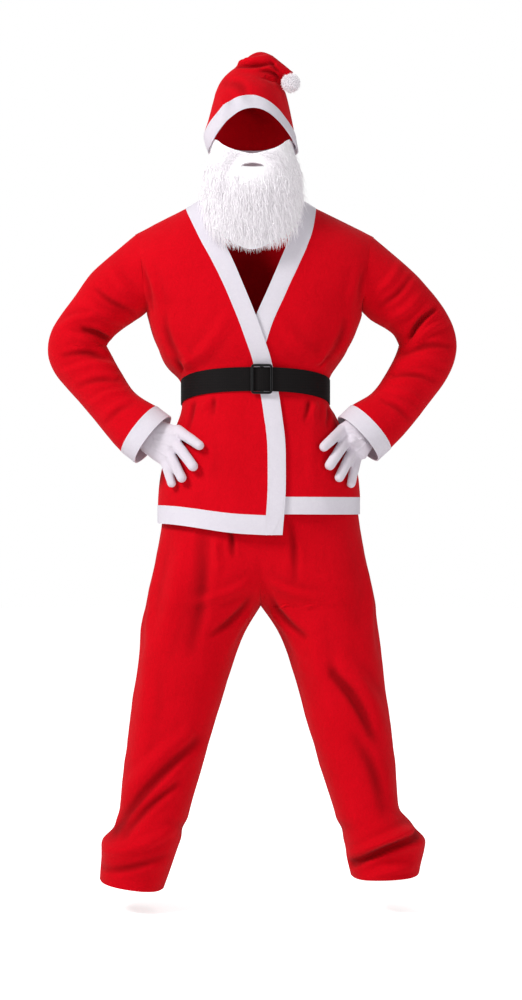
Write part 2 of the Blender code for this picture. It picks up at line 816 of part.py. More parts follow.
def sleeve_grid(side, armhole):
    """The sleeve lofted from the armhole through its rings, and the cuff that goes on from it."""
    frames = sleeve_frames(side, 2)
    count = len(armhole)
    angles = [2.0 * math.pi * step / count for step in range(count)]
    rings = [ring_points(frame, angles) for frame in frames]
    half_way = 0.5 * (armhole + rings[0])
    sleeve = np.array([armhole, half_way, *rings])
    axis = np.array(CUFF_AXIS[side])
    axis /= np.linalg.norm(axis)
    cuff = np.array([rings[-1] + axis * CUFF_LENGTH * step / 2.0 for step in range(3)])
    if side < 0:
        return sleeve[:, ::-1], cuff[:, ::-1]
    return sleeve, cuff


def stand_on_ridge(points, normals):
    """Fronts and back meet along the shoulders' ridge, where their walls end in one upright plane."""
    ridge = (np.abs(points[..., 1]) < 0.01) & (points[..., 2] > SHOULDER_TIP[1][1] - 5.0)
    normals[ridge, 1] = 0.0
    normals[ridge] /= np.linalg.norm(normals[ridge], axis=-1, keepdims=True)


def jacket_grids():
    """Every piece of the jacket as (points, closed), before the folds."""
    back = back_grid()
    grids = {
        "jacket_back": (back[1:], False),
        "hem_trim_back": (back[:2], False),
        "neck_trim": (neck_trim_grid(back), False),
    }
    for side, word in ((-1, "right"), (1, "left")):
        front = front_grid(side, FRONT_COLUMNS, "felt")
        sleeve, cuff = sleeve_grid(side, armhole_ring(front, back, side))
        grids["jacket_front_" + word] = (front[1:], False)
        grids["hem_trim_" + word] = (front[:2], False)
        grids["front_trim_" + word] = (front_grid(side, TRIM_COLUMNS, "trim"), False)
        grids["sleeve_" + word] = (sleeve, True)
        grids["cuff_" + word] = (cuff, True)
    return grids


def jacket_seams(name):
    """The edges of a piece that are sewn to another piece."""
    ends = ("first_column", "last_column")
    if name.startswith(("front_trim", "hem_trim")):
        return ("last_row", *ends)
    if name.startswith("cuff"):
        return ("first_row",)
    if name.startswith("sleeve"):
        return ("first_row", "last_row")
    if name.startswith("neck"):
        return ("first_row", *ends)
    return ("first_row", "last_row", *ends)


def build_jacket(collection):
    folds = JACKET_FOLDS + SLEEVE_FOLDS
    grids = fold_all(jacket_grids(), folds)
    normals = sewn_normals(grids)
    for name, (points, closed) in grids.items():
        stand_on_ridge(points, normals[name])
        is_trim = name.startswith(("front_trim", "hem_trim", "neck", "cuff"))
        kind = "white_trim" if is_trim else "red_felt"
        thick, proud = (TRIM, TRIM_PROUD) if is_trim else (FELT, 0.0)
        cloth(name, points, normals[name], kind, collection, jacket_seams(name), thick, proud, closed)


# ------------------------------------------------------------------ belt and buckle
def jacket_skin(across, height, side, front):
    """A point of the jacket's face at a place across and a height, with its normal, folds and lap."""
    climb = 0.0
    for _ in range(2):
        # the section that passes through this height here started lower, at the side seam
        rise, half_width, centre, front_depth, back_depth = body_section(height - climb)
        share = np.clip((across - centre) * side / half_width, 0.0, 1.0)
        width, depth = superellipse(section_angle(share, BODY_POWER), BODY_POWER)
        climb = rise * depth**RISE_POWER * (1.0 if front > 0 else BACK_RISE)
    reach = front_depth if front > 0 else back_depth
    point = np.array((centre + side * half_width * width, -front * reach * depth, height))
    slope = BODY_POWER - 1.0
    normal = np.array((side * width**slope / half_width, -front * depth**slope / reach, 0.0))
    normal /= np.linalg.norm(normal)
    moved = folded(point[None], normal[None], JACKET_FOLDS)[0]
    if front > 0:
        moved[1] -= lap(moved)
    return moved, normal


def off_jacket(across, height, side, away):
    """Where the centre of something round lies when it rests this far off the jacket's front."""
    foot = across
    for _ in range(12):
        point, normal = jacket_skin(foot, height, side, 1)
        foot += 0.6 * (across - (point[0] + normal[0] * away))
    return point + normal * away


def belt_stations():
    """Where the strap's columns lie, as (across, front, rise off the jacket), from its sewn end at the
    buckle round the waist to the loose end that lies on its own start."""
    second = WEBBING + SEAM_GAP
    over = second + CENTRE_BAR[1] + SEAM_GAP
    reach = BUCKLE_ACROSS / 2.0
    half_bar = CENTRE_BAR[0] / 2.0
    _, _, half_width, centre, _, _ = JACKET_SECTIONS[BELT_SECTION]

    def at_turn(degrees, side):
        return centre + side * half_width * superellipse(math.radians(degrees), BODY_POWER)[0]

    # at the sides and the back the strap's columns face the jacket's own, so the two stay parallel
    lapped = [(BUCKLE_X + step, 1) for step in (reach - 5.0, reach + 6.0, *BELT_LAP_STEPS)]
    lapped += [(at_turn(degrees, 1), 1) for degrees in (20.0, 10.0, 0.0)]
    back = [share for share in back_shares() if abs(share) < 1.0]
    round_back = [(at_turn(back_turn(share), math.copysign(1.0, share)), -1) for share in back[::-1]]
    first = [(BUCKLE_X - half_bar - 5.0, 1), (BUCKLE_X + half_bar + 3.0, 1), *lapped, *round_back]
    first += [(at_turn(degrees, -1), 1) for degrees in (0.0, 10.3, 20.6, 31.0)]
    first += [(across, 1) for across in BELT_RIGHT_ACROSS]
    through = [
        (BUCKLE_X - reach - 4.0, 1, 0.0),
        (BUCKLE_X - reach + 4.0, 1, 0.4),
        (BUCKLE_X - half_bar - 4.5, 1, over - 0.8),
        (BUCKLE_X - half_bar - 1.0, 1, over),
        (BUCKLE_X + half_bar + 1.0, 1, over),
        (BUCKLE_X + half_bar + 4.5, 1, over - 0.8),
    ]
    tail = [(across, front, second) for across, front in lapped + round_back[:2]]
    return [(across, front, 0.0) for across, front in first] + through + tail


def belt_lift(across):
    """The belt bridges from the lapped front down to the one beneath it."""
    inwards = smooth_step((across + 112.0) / 50.0)
    leaving = smooth_step((across - 56.0) / 44.0)
    return LAP_LIFT * inwards * (1.0 - leaving)


def belt_height(share, front):
    """Middle height of the belt where the section's depth has this share."""
    height, rise = JACKET_SECTIONS[BELT_SECTION][:2]
    return height + rise * share**RISE_POWER * (1.0 if front > 0 else BACK_RISE)


def build_belt(collection):
    rows = (-0.5, 0.0, 0.5)
    points, normals = [], []
    for across, front, off in belt_stations():
        _, _, half_width, centre, front_depth, back_depth = JACKET_SECTIONS[BELT_SECTION]
        side = 1 if across >= centre else -1
        width = min(1.0, (across - centre) * side / half_width)
        _, depth = superellipse(section_angle(width, BODY_POWER), BODY_POWER)
        reach = front_depth if front > 0 else back_depth
        slope = BODY_POWER - 1.0
        normal = np.array((side * width**slope / half_width, -front * depth**slope / reach, 0.0))
        normal /= np.linalg.norm(normal)
        height = belt_height(depth, front)
        base = np.array((centre + side * half_width * width, -front * reach * depth, height))
        if front > 0:
            base[1] -= belt_lift(base[0])
        base += normal * (BELT_CLEAR + WEBBING + off)
        points.append([base + np.array((0.0, 0.0, row * BELT_WIDTH)) for row in rows])
        normals.append([normal] * len(rows))
    points = np.array(points).transpose(1, 0, 2)
    normals = np.array(normals).transpose(1, 0, 2)
    cloth("belt", points, normals, "black_webbing", collection, thick=WEBBING)


def bevelled_frame(name, size, bar, deep, corner):
    """A flat rounded frame as a filled curve with a hole."""
    curve = bpy.data.curves.new(name, "CURVE")
    curve.dimensions = "2D"
    curve.fill_mode = "BOTH"
    curve.extrude = deep / 2.0 * TO_METRES
    for inset, radius in ((0.0, corner), (bar, corner / 3.0)):
        spline = curve.splines.new("POLY")
        outline = []
        for turn in range(4):
            middle = math.pi / 2.0 * turn + math.pi / 4.0
            sign_x = math.copysign(1.0, math.cos(middle))
            sign_y = math.copysign(1.0, math.sin(middle))
            for step in range(4):
                angle = math.pi / 2.0 * (turn + step / 3.0)
                outline.append(
                    (
                        sign_x * (size[0] / 2.0 - inset - radius) + radius * math.cos(angle),
                        sign_y * (size[1] / 2.0 - inset - radius) + radius * math.sin(angle),
                    )
                )
        spline.points.add(len(outline) - 1)
        for point, (across, up) in zip(spline.points, outline):
            point.co = (across * TO_METRES, up * TO_METRES, 0.0, 1.0)
        spline.use_cyclic_u = True
    return curve


def box_mesh(name, size, centre):
    mesh = bpy.data.meshes.new(name)
    shape = bmesh.new()
    bmesh.ops.create_cube(shape, size=1.0)
    bmesh.ops.scale(shape, vec=Vector(size) * TO_METRES, verts=shape.verts)
    bmesh.ops.translate(shape, vec=Vector(centre) * TO_METRES, verts=shape.verts)
    shape.to_mesh(mesh)
    shape.free()
    return mesh


def helper(name, mesh, cutters):
    obj = bpy.data.objects.new(name, mesh)
    cutters.objects.link(obj)
    obj.hide_render = True
    obj.display_type = "WIRE"
    return obj


def join_shape(obj, other, operation):
    made = obj.modifiers.new(operation.lower() + "_" + other.name, "BOOLEAN")
    made.operation = operation
    made.object = other


def build_buckle(collection, cutters):
    """A slide: the strap passes under both side bars and over the centre bar."""
    under = -JACKET_SECTIONS[BELT_SECTION][4] - LAP_LIFT - BELT_CLEAR - WEBBING
    bar_back = under - SEAM_GAP
    frame_back = under - WEBBING - 2.0 * SEAM_GAP - 0.5
    height = belt_height(1.0, 1)
    curve = bevelled_frame("buckle", (BUCKLE_ACROSS, BUCKLE_HIGH), BUCKLE_BAR, BUCKLE_DEEP, 7.0)
    drawn = bpy.data.objects.new("buckle_outline", curve)
    cutters.objects.link(drawn)
    bpy.context.view_layer.update()
    graph = bpy.context.evaluated_depsgraph_get()
    mesh = bpy.data.meshes.new_from_object(drawn.evaluated_get(graph))
    bpy.data.objects.remove(drawn)
    shape = bmesh.new()
    shape.from_mesh(mesh)
    bmesh.ops.remove_doubles(shape, verts=shape.verts, dist=1e-6)
    bmesh.ops.rotate(shape, verts=shape.verts, matrix=Matrix.Rotation(math.pi / 2.0, 3, "X"))
    middle = Vector((BUCKLE_X, frame_back - BUCKLE_DEEP / 2.0, height)) * TO_METRES
    bmesh.ops.translate(shape, verts=shape.verts, vec=middle)
    shape.to_mesh(mesh)
    shape.free()
    buckle = add_object("buckle", mesh, "black_plastic", collection)
    width, thick = CENTRE_BAR
    long = BELT_WIDTH + 6.0
    bar = box_mesh("centre_bar", (width, thick, long), (BUCKLE_X, bar_back - thick / 2.0, height))
    join_shape(buckle, helper("centre_bar", bar, cutters), "UNION")
    for word, sign in (("upper", 1), ("lower", -1)):
        deep = bar_back - frame_back + BUCKLE_DEEP / 2.0
        place = (BUCKLE_X, bar_back - deep / 2.0, height + sign * (BELT_WIDTH / 2.0 + 2.2))
        post = box_mesh(word + "_post", (width + 4.0, deep, 3.4), place)
        join_shape(buckle, helper(word + "_post", post, cutters), "UNION")
    edge = buckle.modifiers.new("edge", "BEVEL")
    edge.width = 0.6 * TO_METRES
    edge.segments = 1
    edge.limit_method = "ANGLE"
    edge.angle_limit = math.radians(50)


# ------------------------------------------------------------------ trousers
def leg_grid(side, front, columns):
    """Points of one leg's front or back, from the centre seam or inseam to the side seam."""
    grid = []
    last = TROUSER_LEGS[side][-1][0]
    for height, inner, outer, front_depth, back_depth in TROUSER_HIPS + TROUSER_LEGS[side]:
        centre, half_width = (inner + outer) / 2.0, (outer - inner) / 2.0
        reach = front_depth if front > 0 else back_depth
        start = section_angle(-centre / half_width, LEG_POWER) if inner < 0 else math.pi
        tilt = TROUSER_HEM_TILT[side] * smooth_step((last + 160.0 - height) / 160.0)
        line = []
        for column in range(columns + 1):
            width, depth = superellipse(start * (1.0 - column / columns), LEG_POWER)
            across = centre + half_width * width
            drop = tilt * (0.5 - (across - inner) / (outer - inner))
            line.append((TROUSER_CENTRE + side * across, -front * reach * depth, height - drop))
        grid.append(line if side * front < 0 else line[::-1])
    return np.array(grid)


def build_trousers(collection):
    columns = 7
    grids = {}
    for side, word in ((-1, "right"), (1, "left")):
        for front, face in ((1, "front"), (-1, "back")):
            grids[face + "_" + word] = (leg_grid(side, front, columns), False)
    ring = np.concatenate(
        [
            grids["front_right"][0][0][:-1],
            grids["back_right"][0][0][:-1],
            grids["back_left"][0][0][:-1],
            grids["front_left"][0][0][:-1],
        ]
    )
    middle = np.array((TROUSER_CENTRE, 0.0, 0.0))
    band = []
    for share in (1.0, 0.5, 0.0):
        size = np.array([1.0 + (WAISTBAND_TAPER - 1.0) * share] * 2 + [1.0])
        band.append((ring - middle) * size + middle + np.array((0.0, 0.0, WAISTBAND_HEIGHT * share)))
    grids["waistband"] = (np.array(band), True)
    grids = fold_all(grids, TROUSER_FOLDS)
    normals = sewn_normals(grids)
    for name, (points, closed) in grids.items():
        if closed:
            cloth("waistband", points, normals[name], "red_felt", collection, ("last_row",), closed=True)
        else:
            seams = ("first_row", "first_column", "last_column")
            cloth("trouser_" + name, points, normals[name], "red_felt", collection, seams)


# ------------------------------------------------------------------ hat
def hat_ring(row, columns):
    across, depth, height, half_width, half_depth, front_rise, back_rise, roll = HAT_RINGS[row]
    lean = math.radians(roll)
    ring = []
    for column in range(columns):
        angle = -2.0 * math.pi * column / columns
        width, forward = math.cos(angle), math.sin(angle)
        rise = (front_rise if forward > 0 else back_rise) * forward**2
        ring.append(
            (
                across + half_width * width * math.cos(lean),
                depth - half_depth * forward,
                height + rise - half_width * width * math.sin(lean),
            )
        )
    return ring


def build_hat(collection):
    columns = 20
    rings = np.array([hat_ring(row, columns) for row in range(len(HAT_RINGS))])
    grids = {"trim": (rings[: HAT_TRIM_ROW + 1], True), "crown": (rings[HAT_TRIM_ROW:], True)}
    grids = fold_all(grids, HAT_FOLDS)
    normals = sewn_normals(grids)
    trim, crown = grids["trim"][0], grids["crown"][0]
    seam = ("last_row",)
    cloth("hat_trim", trim, normals["trim"], "white_trim", collection, seam, TRIM, TRIM_PROUD, True)
    cloth("hat_crown", crown, normals["crown"], "red_felt", collection, ("first_row",), closed=True)
    pompom = bpy.data.meshes.new("pompom")
    shape = bmesh.new()
    bmesh.ops.create_icosphere(shape, subdivisions=2, radius=POMPOM_RADIUS * TO_METRES)
    # each face rises to a point, as a lock of wool
    bmesh.ops.poke(shape, faces=shape.faces, offset=POMPOM_TUFT * TO_METRES)
    bmesh.ops.translate(shape, vec=Vector(POMPOM_CENTRE) * TO_METRES, verts=shape.verts)
    shape.to_mesh(pompom)
    shape.free()
    add_object("hat_pompom", pompom, "white_fur", collection)


# ------------------------------------------------------------------ beard
def build_beard(collection, cutters):
    rows, columns = 11, 16
    table = np.array(BEARD_SECTIONS, float)
    points = np.zeros((rows + 1, columns + 1, 3))
    thick = np.zeros((rows + 1, columns + 1, 1))
    for row in range(rows + 1):
        up = row / rows
        for column in range(columns + 1):
            angle = 180.0 * column / columns - 90.0
            low, high = read_at(BEARD_BOTTOM, abs(angle)), read_at(BEARD_TOP, abs(angle))
            height = low + (high - low) * up
            half_width, side, front = (np.interp(height, table[:, 0], table[:, at]) for at in (1, 2, 3))
            turned = math.radians(angle)
            points[row, column] = (
                BEARD_CENTRE + half_width * math.sin(turned),
                side + (front - side) * math.cos(turned),
                height,
            )
            fade = math.sin(math.pi * up) ** 0.5 if 0 < row < rows else 0.0
            fade *= 0.35 + 0.65 * math.cos(turned)
            lock = BEARD_LOCK * math.sin(math.radians(angle) * 11.0 + 4.0 * up) * math.sin(9.0 * up)
            thick[row, column] = BEARD_EDGE + (BEARD_THICK - BEARD_EDGE) * fade
            points[row, column, 1] -= lock * fade
    normals = sewn_normals({"beard": (points, False)})["beard"]
    beard = cloth("beard", points, normals, "white_fur", collection, thick=thick)
    (across, height), (half_width, half_height) = MOUTH
    mesh = bpy.data.meshes.new("mouth")
    shape = bmesh.new()
    bmesh.ops.create_cone(shape, cap_ends=True, segments=16, radius1=1.0, radius2=1.0, depth=1.0)
    bmesh.ops.rotate(shape, verts=shape.verts, matrix=Matrix.Rotation(math.pi / 2.0, 3, "X"))
    bmesh.ops.scale(shape, verts=shape.verts, vec=Vector((half_width, 120.0, half_height)) * TO_METRES)
    bmesh.ops.translate(shape, verts=shape.verts, vec=Vector((across, -140.0, height)) * TO_METRES)
    shape.to_mesh(mesh)
    shape.free()
    join_shape(beard, helper("mouth", mesh, cutters), "DIFFERENCE")
    build_strap(collection, points[-2, 0], points[-2, -1], normals[-2, 0], normals[-2, -1])


def build_strap(collection, right_end, left_end, right_normal, left_normal):
    """The elastic that holds the beard, round the back of the head and inside the hat."""
    centre_x, centre_y, half_width, half_depth = STRAP_RING
    steps = 16
    sewn = np.array((0.0, 3.0 * SEAM_GAP, 0.0))
    line = [(left_end - left_normal * STRAP_INSET + sewn)[:2]]
    for step in range(steps + 1):
        angle = math.pi * step / steps
        line.append((centre_x + half_width * math.cos(angle), centre_y + half_depth * math.sin(angle)))
    line.append((right_end - right_normal * STRAP_INSET + sewn)[:2])
    height = left_end[2]
    points = np.array([[(x, y, height + rise * STRAP_WIDTH) for x, y in line] for rise in (-0.5, 0.5)])
    normals = sewn_normals({"strap": (points, False)})["strap"]
    cloth("beard_strap", points, normals, "white_trim", collection, thick=STRAP_THICK)


# ------------------------------------------------------------------ gloves
def tube_mesh(name, centres, radii, sides, turn_from):
    """A closed tapering tube with a rounded far end."""
    centres = [Vector(tuple(centre)) for centre in centres]
    last = (centres[-1] - centres[-2]).normalized()
    tip, radius = centres[-1], radii[-1]
    for share, size in ((0.5, 0.87), (0.87, 0.5)):
        centres.append(tip + last * radius * share)
        radii = [*radii, radius * size]
    shape = bmesh.new()
    rings = []
    for index, (centre, radius) in enumerate(zip(centres, radii)):
        ahead = centres[min(index + 1, len(centres) - 1)] - centres[max(index - 1, 0)]
        ahead.normalize()
        first = turn_from - ahead * turn_from.dot(ahead)
        first.normalize()
        second = ahead.cross(first)
        rings.append(
            [
                shape.verts.new(
                    (
                        centre
                        + first * radius * math.cos(2.0 * math.pi * step / sides)
                        + second * radius * math.sin(2.0 * math.pi * step / sides)
                    )
                    * TO_METRES
                )
                for step in range(sides)
            ]
        )
    for low, high in zip(rings, rings[1:]):
        for step in range(sides):
            after = (step + 1) % sides
            shape.faces.new((low[step], low[after], high[after], high[step]))
    shape.faces.new(rings[0][::-1])
    shape.faces.new(rings[-1])
    mesh = bpy.data.meshes.new(name)
    shape.to_mesh(mesh)
    shape.free()
    return mesh


def finger_roots(side):
    """The centres of the fingers' roots, forefinger first."""
    roots = [
        off_jacket(across, height, side, root + GLOVE_REST[side] + FINGER_ARCH)
        for across, height, _, _, root, _ in GLOVE_FINGERS[side]
    ]
    return np.array(roots)


def hand_axes(side, rows, index):
    """(across the palm, through the palm) at one ring of a hand."""
    ahead = rows[min(index + 1, len(rows) - 1), :3] - rows[max(index - 1, 0), :3]
    ahead /= np.linalg.norm(ahead)
    roots = finger_roots(side)
    wide = roots[0] - roots[3]
    wide -= ahead * (ahead @ wide)
    wide /= np.linalg.norm(wide)
    return wide, np.cross(ahead, wide)


def hand_mesh(name, side, smaller, past_wrist):
    """The hand's own hollow, wrist to knuckles, as a closed loft of flattened rings."""
    sides = 12
    rows = np.array(GLOVE_HAND[side], float)
    rows[-1, :3] = finger_roots(side).mean(axis=0)
    if past_wrist:
        rows[0, :3] += (rows[0, :3] - rows[1, :3]) * PAST_WRIST
    centres = rows[:, :3]
    shape = bmesh.new()
    rings = []
    for index, row in enumerate(rows):
        wide, thin = hand_axes(side, rows, index)
        rings.append(
            [
                shape.verts.new(
                    Vector(
                        centres[index]
                        + wide * (row[3] - smaller) * math.cos(2.0 * math.pi * step / sides)
                        + thin * (row[4] - smaller) * math.sin(2.0 * math.pi * step / sides)
                    )
                    * TO_METRES
                )
                for step in range(sides)
            ]
        )
    for low, high in zip(rings, rings[1:]):
        for step in range(sides):
            after = (step + 1) % sides
            shape.faces.new((low[step], low[after], high[after], high[step]))
    shape.faces.new(rings[0][::-1])
    shape.faces.new(rings[-1])
    mesh = bpy.data.meshes.new(name)
    shape.to_mesh(mesh)
    shape.free()
    return mesh


def glove_form(name, side, smaller, cutters, past_wrist):
    """Joins hand and fingers; smaller draws every face in, for the hollow."""
    obj = bpy.data.objects.new(name, hand_mesh(name, side, smaller, past_wrist))
    sides = 5 if past_wrist else 7
    across = Vector((1.0, 0.3, 0.2))
    for number, (x0, z0, x1, z1, root, tip) in enumerate(GLOVE_FINGERS[side]):
        centres, radii = [], []
        for share in (0.0, 0.4, 0.7, 1.0):
            radius = root + (tip - root) * share
            rest = radius + GLOVE_REST[side] + FINGER_ARCH * (1.0 - share)
            centres.append(off_jacket(x0 + (x1 - x0) * share, z0 + (z1 - z0) * share, side, rest))
            radii.append(radius - smaller)
        mesh = tube_mesh(f"{name}_finger_{number}", centres, radii, sides, across)
        join_shape(obj, helper(mesh.name, mesh, cutters), "UNION")
    radii = [radius - smaller for radius in (THUMB_RADIUS[0], sum(THUMB_RADIUS) / 2.0, THUMB_RADIUS[1])]
    thumb = tube_mesh(name + "_thumb", GLOVE_THUMB[side], radii, sides, Vector((0.0, 0.1, 1.0)))
    join_shape(obj, helper(thumb.name, thumb, cutters), "UNION")
    return obj


def build_gloves(collection, cutters):
    for side, word in ((-1, "right"), (1, "left")):
        glove = glove_form("glove_" + word, side, 0.0, cutters, False)
        hollow = glove_form("hollow_" + word, side, GLOVE_WALL, cutters, True)
        cutters.objects.link(hollow)
        hollow.hide_render = True
        hollow.display_type = "WIRE"
        join_shape(glove, hollow, "DIFFERENCE")
        glove.data.materials.append(material_of("glove_cotton"))
        collection.objects.link(glove)
        glove.data.shade_smooth()


def main():
    clear_scene()
    suit = collection_of("santa_suit")
    cutters = collection_of("cutters")
    build_jacket(suit)
    build_belt(suit)
    build_buckle(suit, cutters)
    build_trousers(suit)
    build_hat(suit)
    build_beard(suit, cutters)
    build_gloves(suit, cutters)


main()
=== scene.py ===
"""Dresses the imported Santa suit: creased felt, fur beard and pompom, knitted gloves, webbing belt.

Laid out as a Blender add-on and run as a script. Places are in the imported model's own frame: X to the
wearer's left, Y to the back, Z up, with the origin between the shoulders. Tables are in millimetres.
"""

import math

import bmesh
import bpy
import numpy as np
from bpy.props import FloatProperty, FloatVectorProperty, IntProperty, PointerProperty
from mathutils import Matrix, Vector, noise
from mathutils.bvhtree import BVHTree


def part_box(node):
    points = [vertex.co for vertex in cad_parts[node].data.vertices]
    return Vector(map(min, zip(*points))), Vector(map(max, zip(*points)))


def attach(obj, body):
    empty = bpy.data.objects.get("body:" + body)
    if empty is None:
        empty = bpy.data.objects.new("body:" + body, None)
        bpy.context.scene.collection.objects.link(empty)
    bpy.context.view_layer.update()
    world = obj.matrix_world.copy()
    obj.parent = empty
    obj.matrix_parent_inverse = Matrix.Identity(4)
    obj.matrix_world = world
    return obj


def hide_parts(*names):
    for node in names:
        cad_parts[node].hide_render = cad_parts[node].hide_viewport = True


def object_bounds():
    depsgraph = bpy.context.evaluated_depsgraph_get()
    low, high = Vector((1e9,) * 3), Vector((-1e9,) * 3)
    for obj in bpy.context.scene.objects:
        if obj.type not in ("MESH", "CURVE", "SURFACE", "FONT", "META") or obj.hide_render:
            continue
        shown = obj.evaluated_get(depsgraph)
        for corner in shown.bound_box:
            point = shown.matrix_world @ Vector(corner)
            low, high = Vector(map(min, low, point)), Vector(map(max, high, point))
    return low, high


bl_info = {
    "name": "Santa Suit Looks",
    "version": (1, 0, 0),
    "blender": (4, 5, 0),
    "location": "3D View > Sidebar > Santa Suit",
    "description": "Dresses the packed Santa suit in felt, fur, knit and webbing",
    "category": "Object",
}

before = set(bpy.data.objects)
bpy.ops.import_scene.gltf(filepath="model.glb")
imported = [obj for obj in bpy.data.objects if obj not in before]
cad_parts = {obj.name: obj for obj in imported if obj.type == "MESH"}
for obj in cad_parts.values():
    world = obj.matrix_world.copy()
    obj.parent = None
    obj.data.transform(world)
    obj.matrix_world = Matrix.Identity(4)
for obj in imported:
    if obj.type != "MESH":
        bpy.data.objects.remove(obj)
CAD_BOX = [[float(value) for value in corner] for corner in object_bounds()]

MM = 0.001
BODY = "root"
SIDES = ("left", "right")
WELD = 0.02
PAIR_BEND, PAIR_SKEW = math.radians(50), math.radians(80)  # how bent two triangles may be to make a quad
RIM_ANGLE = math.radians(52)
RIM_WIDTH = 4.0
SEAM_LET_OUT = 0.3
FINE_LEVELS = 2

# ------------------------------------------------------------------ folds
# A row runs from one point to the next on one face of a garment, as across, height, across, height, then
# half width, rise and bow. Across is X on the front and the back, and Y on the left and right faces. Rise
# is negative for a trough, and bow bends the line sideways.
JACKET_FOLDS = {
    "front": (
        (147, -309, 121, -330, 6, -5, 3), (150, -290, 108, -332, 12, 4, 6),
        (112, -382, 104, -430, 7, -4, 2), (128, -386, 124, -440, 9, 3.5, -2),
        (152, -398, 150, -442, 7, -4, 3), (-166, -316, -152, -342, 7, -5, 2),
        (-150, -300, -120, -336, 11, 4, -4), (-88, -378, -88, -420, 7, -3.5, 1),
        (-104, -380, -112, -440, 9, 3, 2), (-128, -384, -140, -450, 8, -3.5, 2),
        (-242, -108, -219, -198, 9, -2, 5), (-226, -120, -200, -215, 11, 2.5, 5),
        (229, -120, 222, -200, 9, -2, -5), (212, -130, 196, -216, 11, 2.5, -4),
        (-70, -240, -140, -322, 16, 3.5, 8), (60, -250, 132, -318, 15, 3, -8),
        (-190, -230, -160, -310, 12, -3.5, -6), (186, -235, 156, -300, 12, -3.5, 6),
        (-110, -470, -130, -600, 20, 2.5, 8), (120, -480, 140, -600, 20, 2.5, -8),
    ),
    "back": (
        (-60, -340, -84, -230, 11, 4, 6), (-30, -342, -36, -250, 9, -4, 2), (8, -344, 4, -236, 12, 4, 3),
        (40, -342, 52, -240, 10, -4, -5), (88, -336, 110, -226, 12, 4.5, -6),
        (-110, -338, -150, -240, 12, -4, 6), (128, -330, 168, -250, 10, -3.5, -6),
        (-78, -412, -92, -540, 13, 4, 6), (-40, -412, -44, -560, 11, -3.5, 4),
        (6, -414, 8, -590, 14, 3.5, 2), (46, -412, 58, -560, 12, -3.5, -5),
        (96, -410, 118, -560, 14, 4, -6), (-120, -406, -148, -520, 12, -3, 6),
        (-214, -110, -170, -230, 14, -2.5, 10), (212, -112, 166, -232, 14, -2.5, -10),
        (-60, -60, 50, -84, 20, 2.5, 12),
    ),
    "left": (
        (-20, -412, -34, -500, 10, 3.5, 4), (24, -410, 40, -520, 11, -3, 4),
        (10, -335, 30, -250, 11, 3.5, 5),
    ),
    "right": (
        (-22, -412, -36, -500, 10, 3.5, 4), (26, -410, 44, -520, 11, -3, 4),
        (12, -335, 32, -250, 11, 3.5, 5),
    ),
}
SLEEVE_FOLDS = {
    "front": (
        (-356, -247, -306, -270, 8, -9, 4), (-382, -262, -318, -292, 11, 5, 5),
        (-400, -300, -322, -300, 9, -4, 6), (-392, -332, -300, -322, 12, 4, 7),
        (-366, -362, -292, -352, 9, -3.5, 6), (-344, -196, -282, -228, 11, 4, -6),
        (-330, -166, -262, -208, 9, -3.5, -5), (-412, -240, -352, -222, 12, 3.5, 6),
        (-300, -120, -248, -180, 12, 3, -8), (-340, -400, -282, -378, 10, 3, 5),
        (-312, -440, -262, -404, 9, -2.5, 4), (372, -206, 326, -257, 8, -11, -4),
        (392, -232, 338, -270, 11, 5, -5), (404, -280, 318, -292, 10, -4, -6),
        (396, -316, 306, -314, 12, 4, -7), (370, -352, 292, -342, 9, -3.5, -6),
        (340, -180, 284, -222, 12, 4, 6), (322, -140, 262, -196, 9, -3.5, 6),
        (300, -112, 246, -172, 12, 3, 8), (344, -394, 284, -372, 10, 3, -5),
        (318, -432, 268, -398, 9, -2.5, -4),
    ),
    "back": (
        (-352, -246, -310, -278, 9, -6, 4), (-384, -264, -316, -296, 12, 5, 5),
        (-396, -306, -318, -310, 10, -4, 6), (-372, -350, -296, -340, 12, 4, 7),
        (-338, -184, -276, -222, 12, 4, -6), (360, -214, 326, -262, 9, -6, -4),
        (388, -240, 330, -278, 12, 5, -5), (398, -292, 316, -300, 10, -4, -6),
        (376, -338, 296, -330, 12, 4, -7), (336, -176, 278, -216, 12, 4, 6),
    ),
}
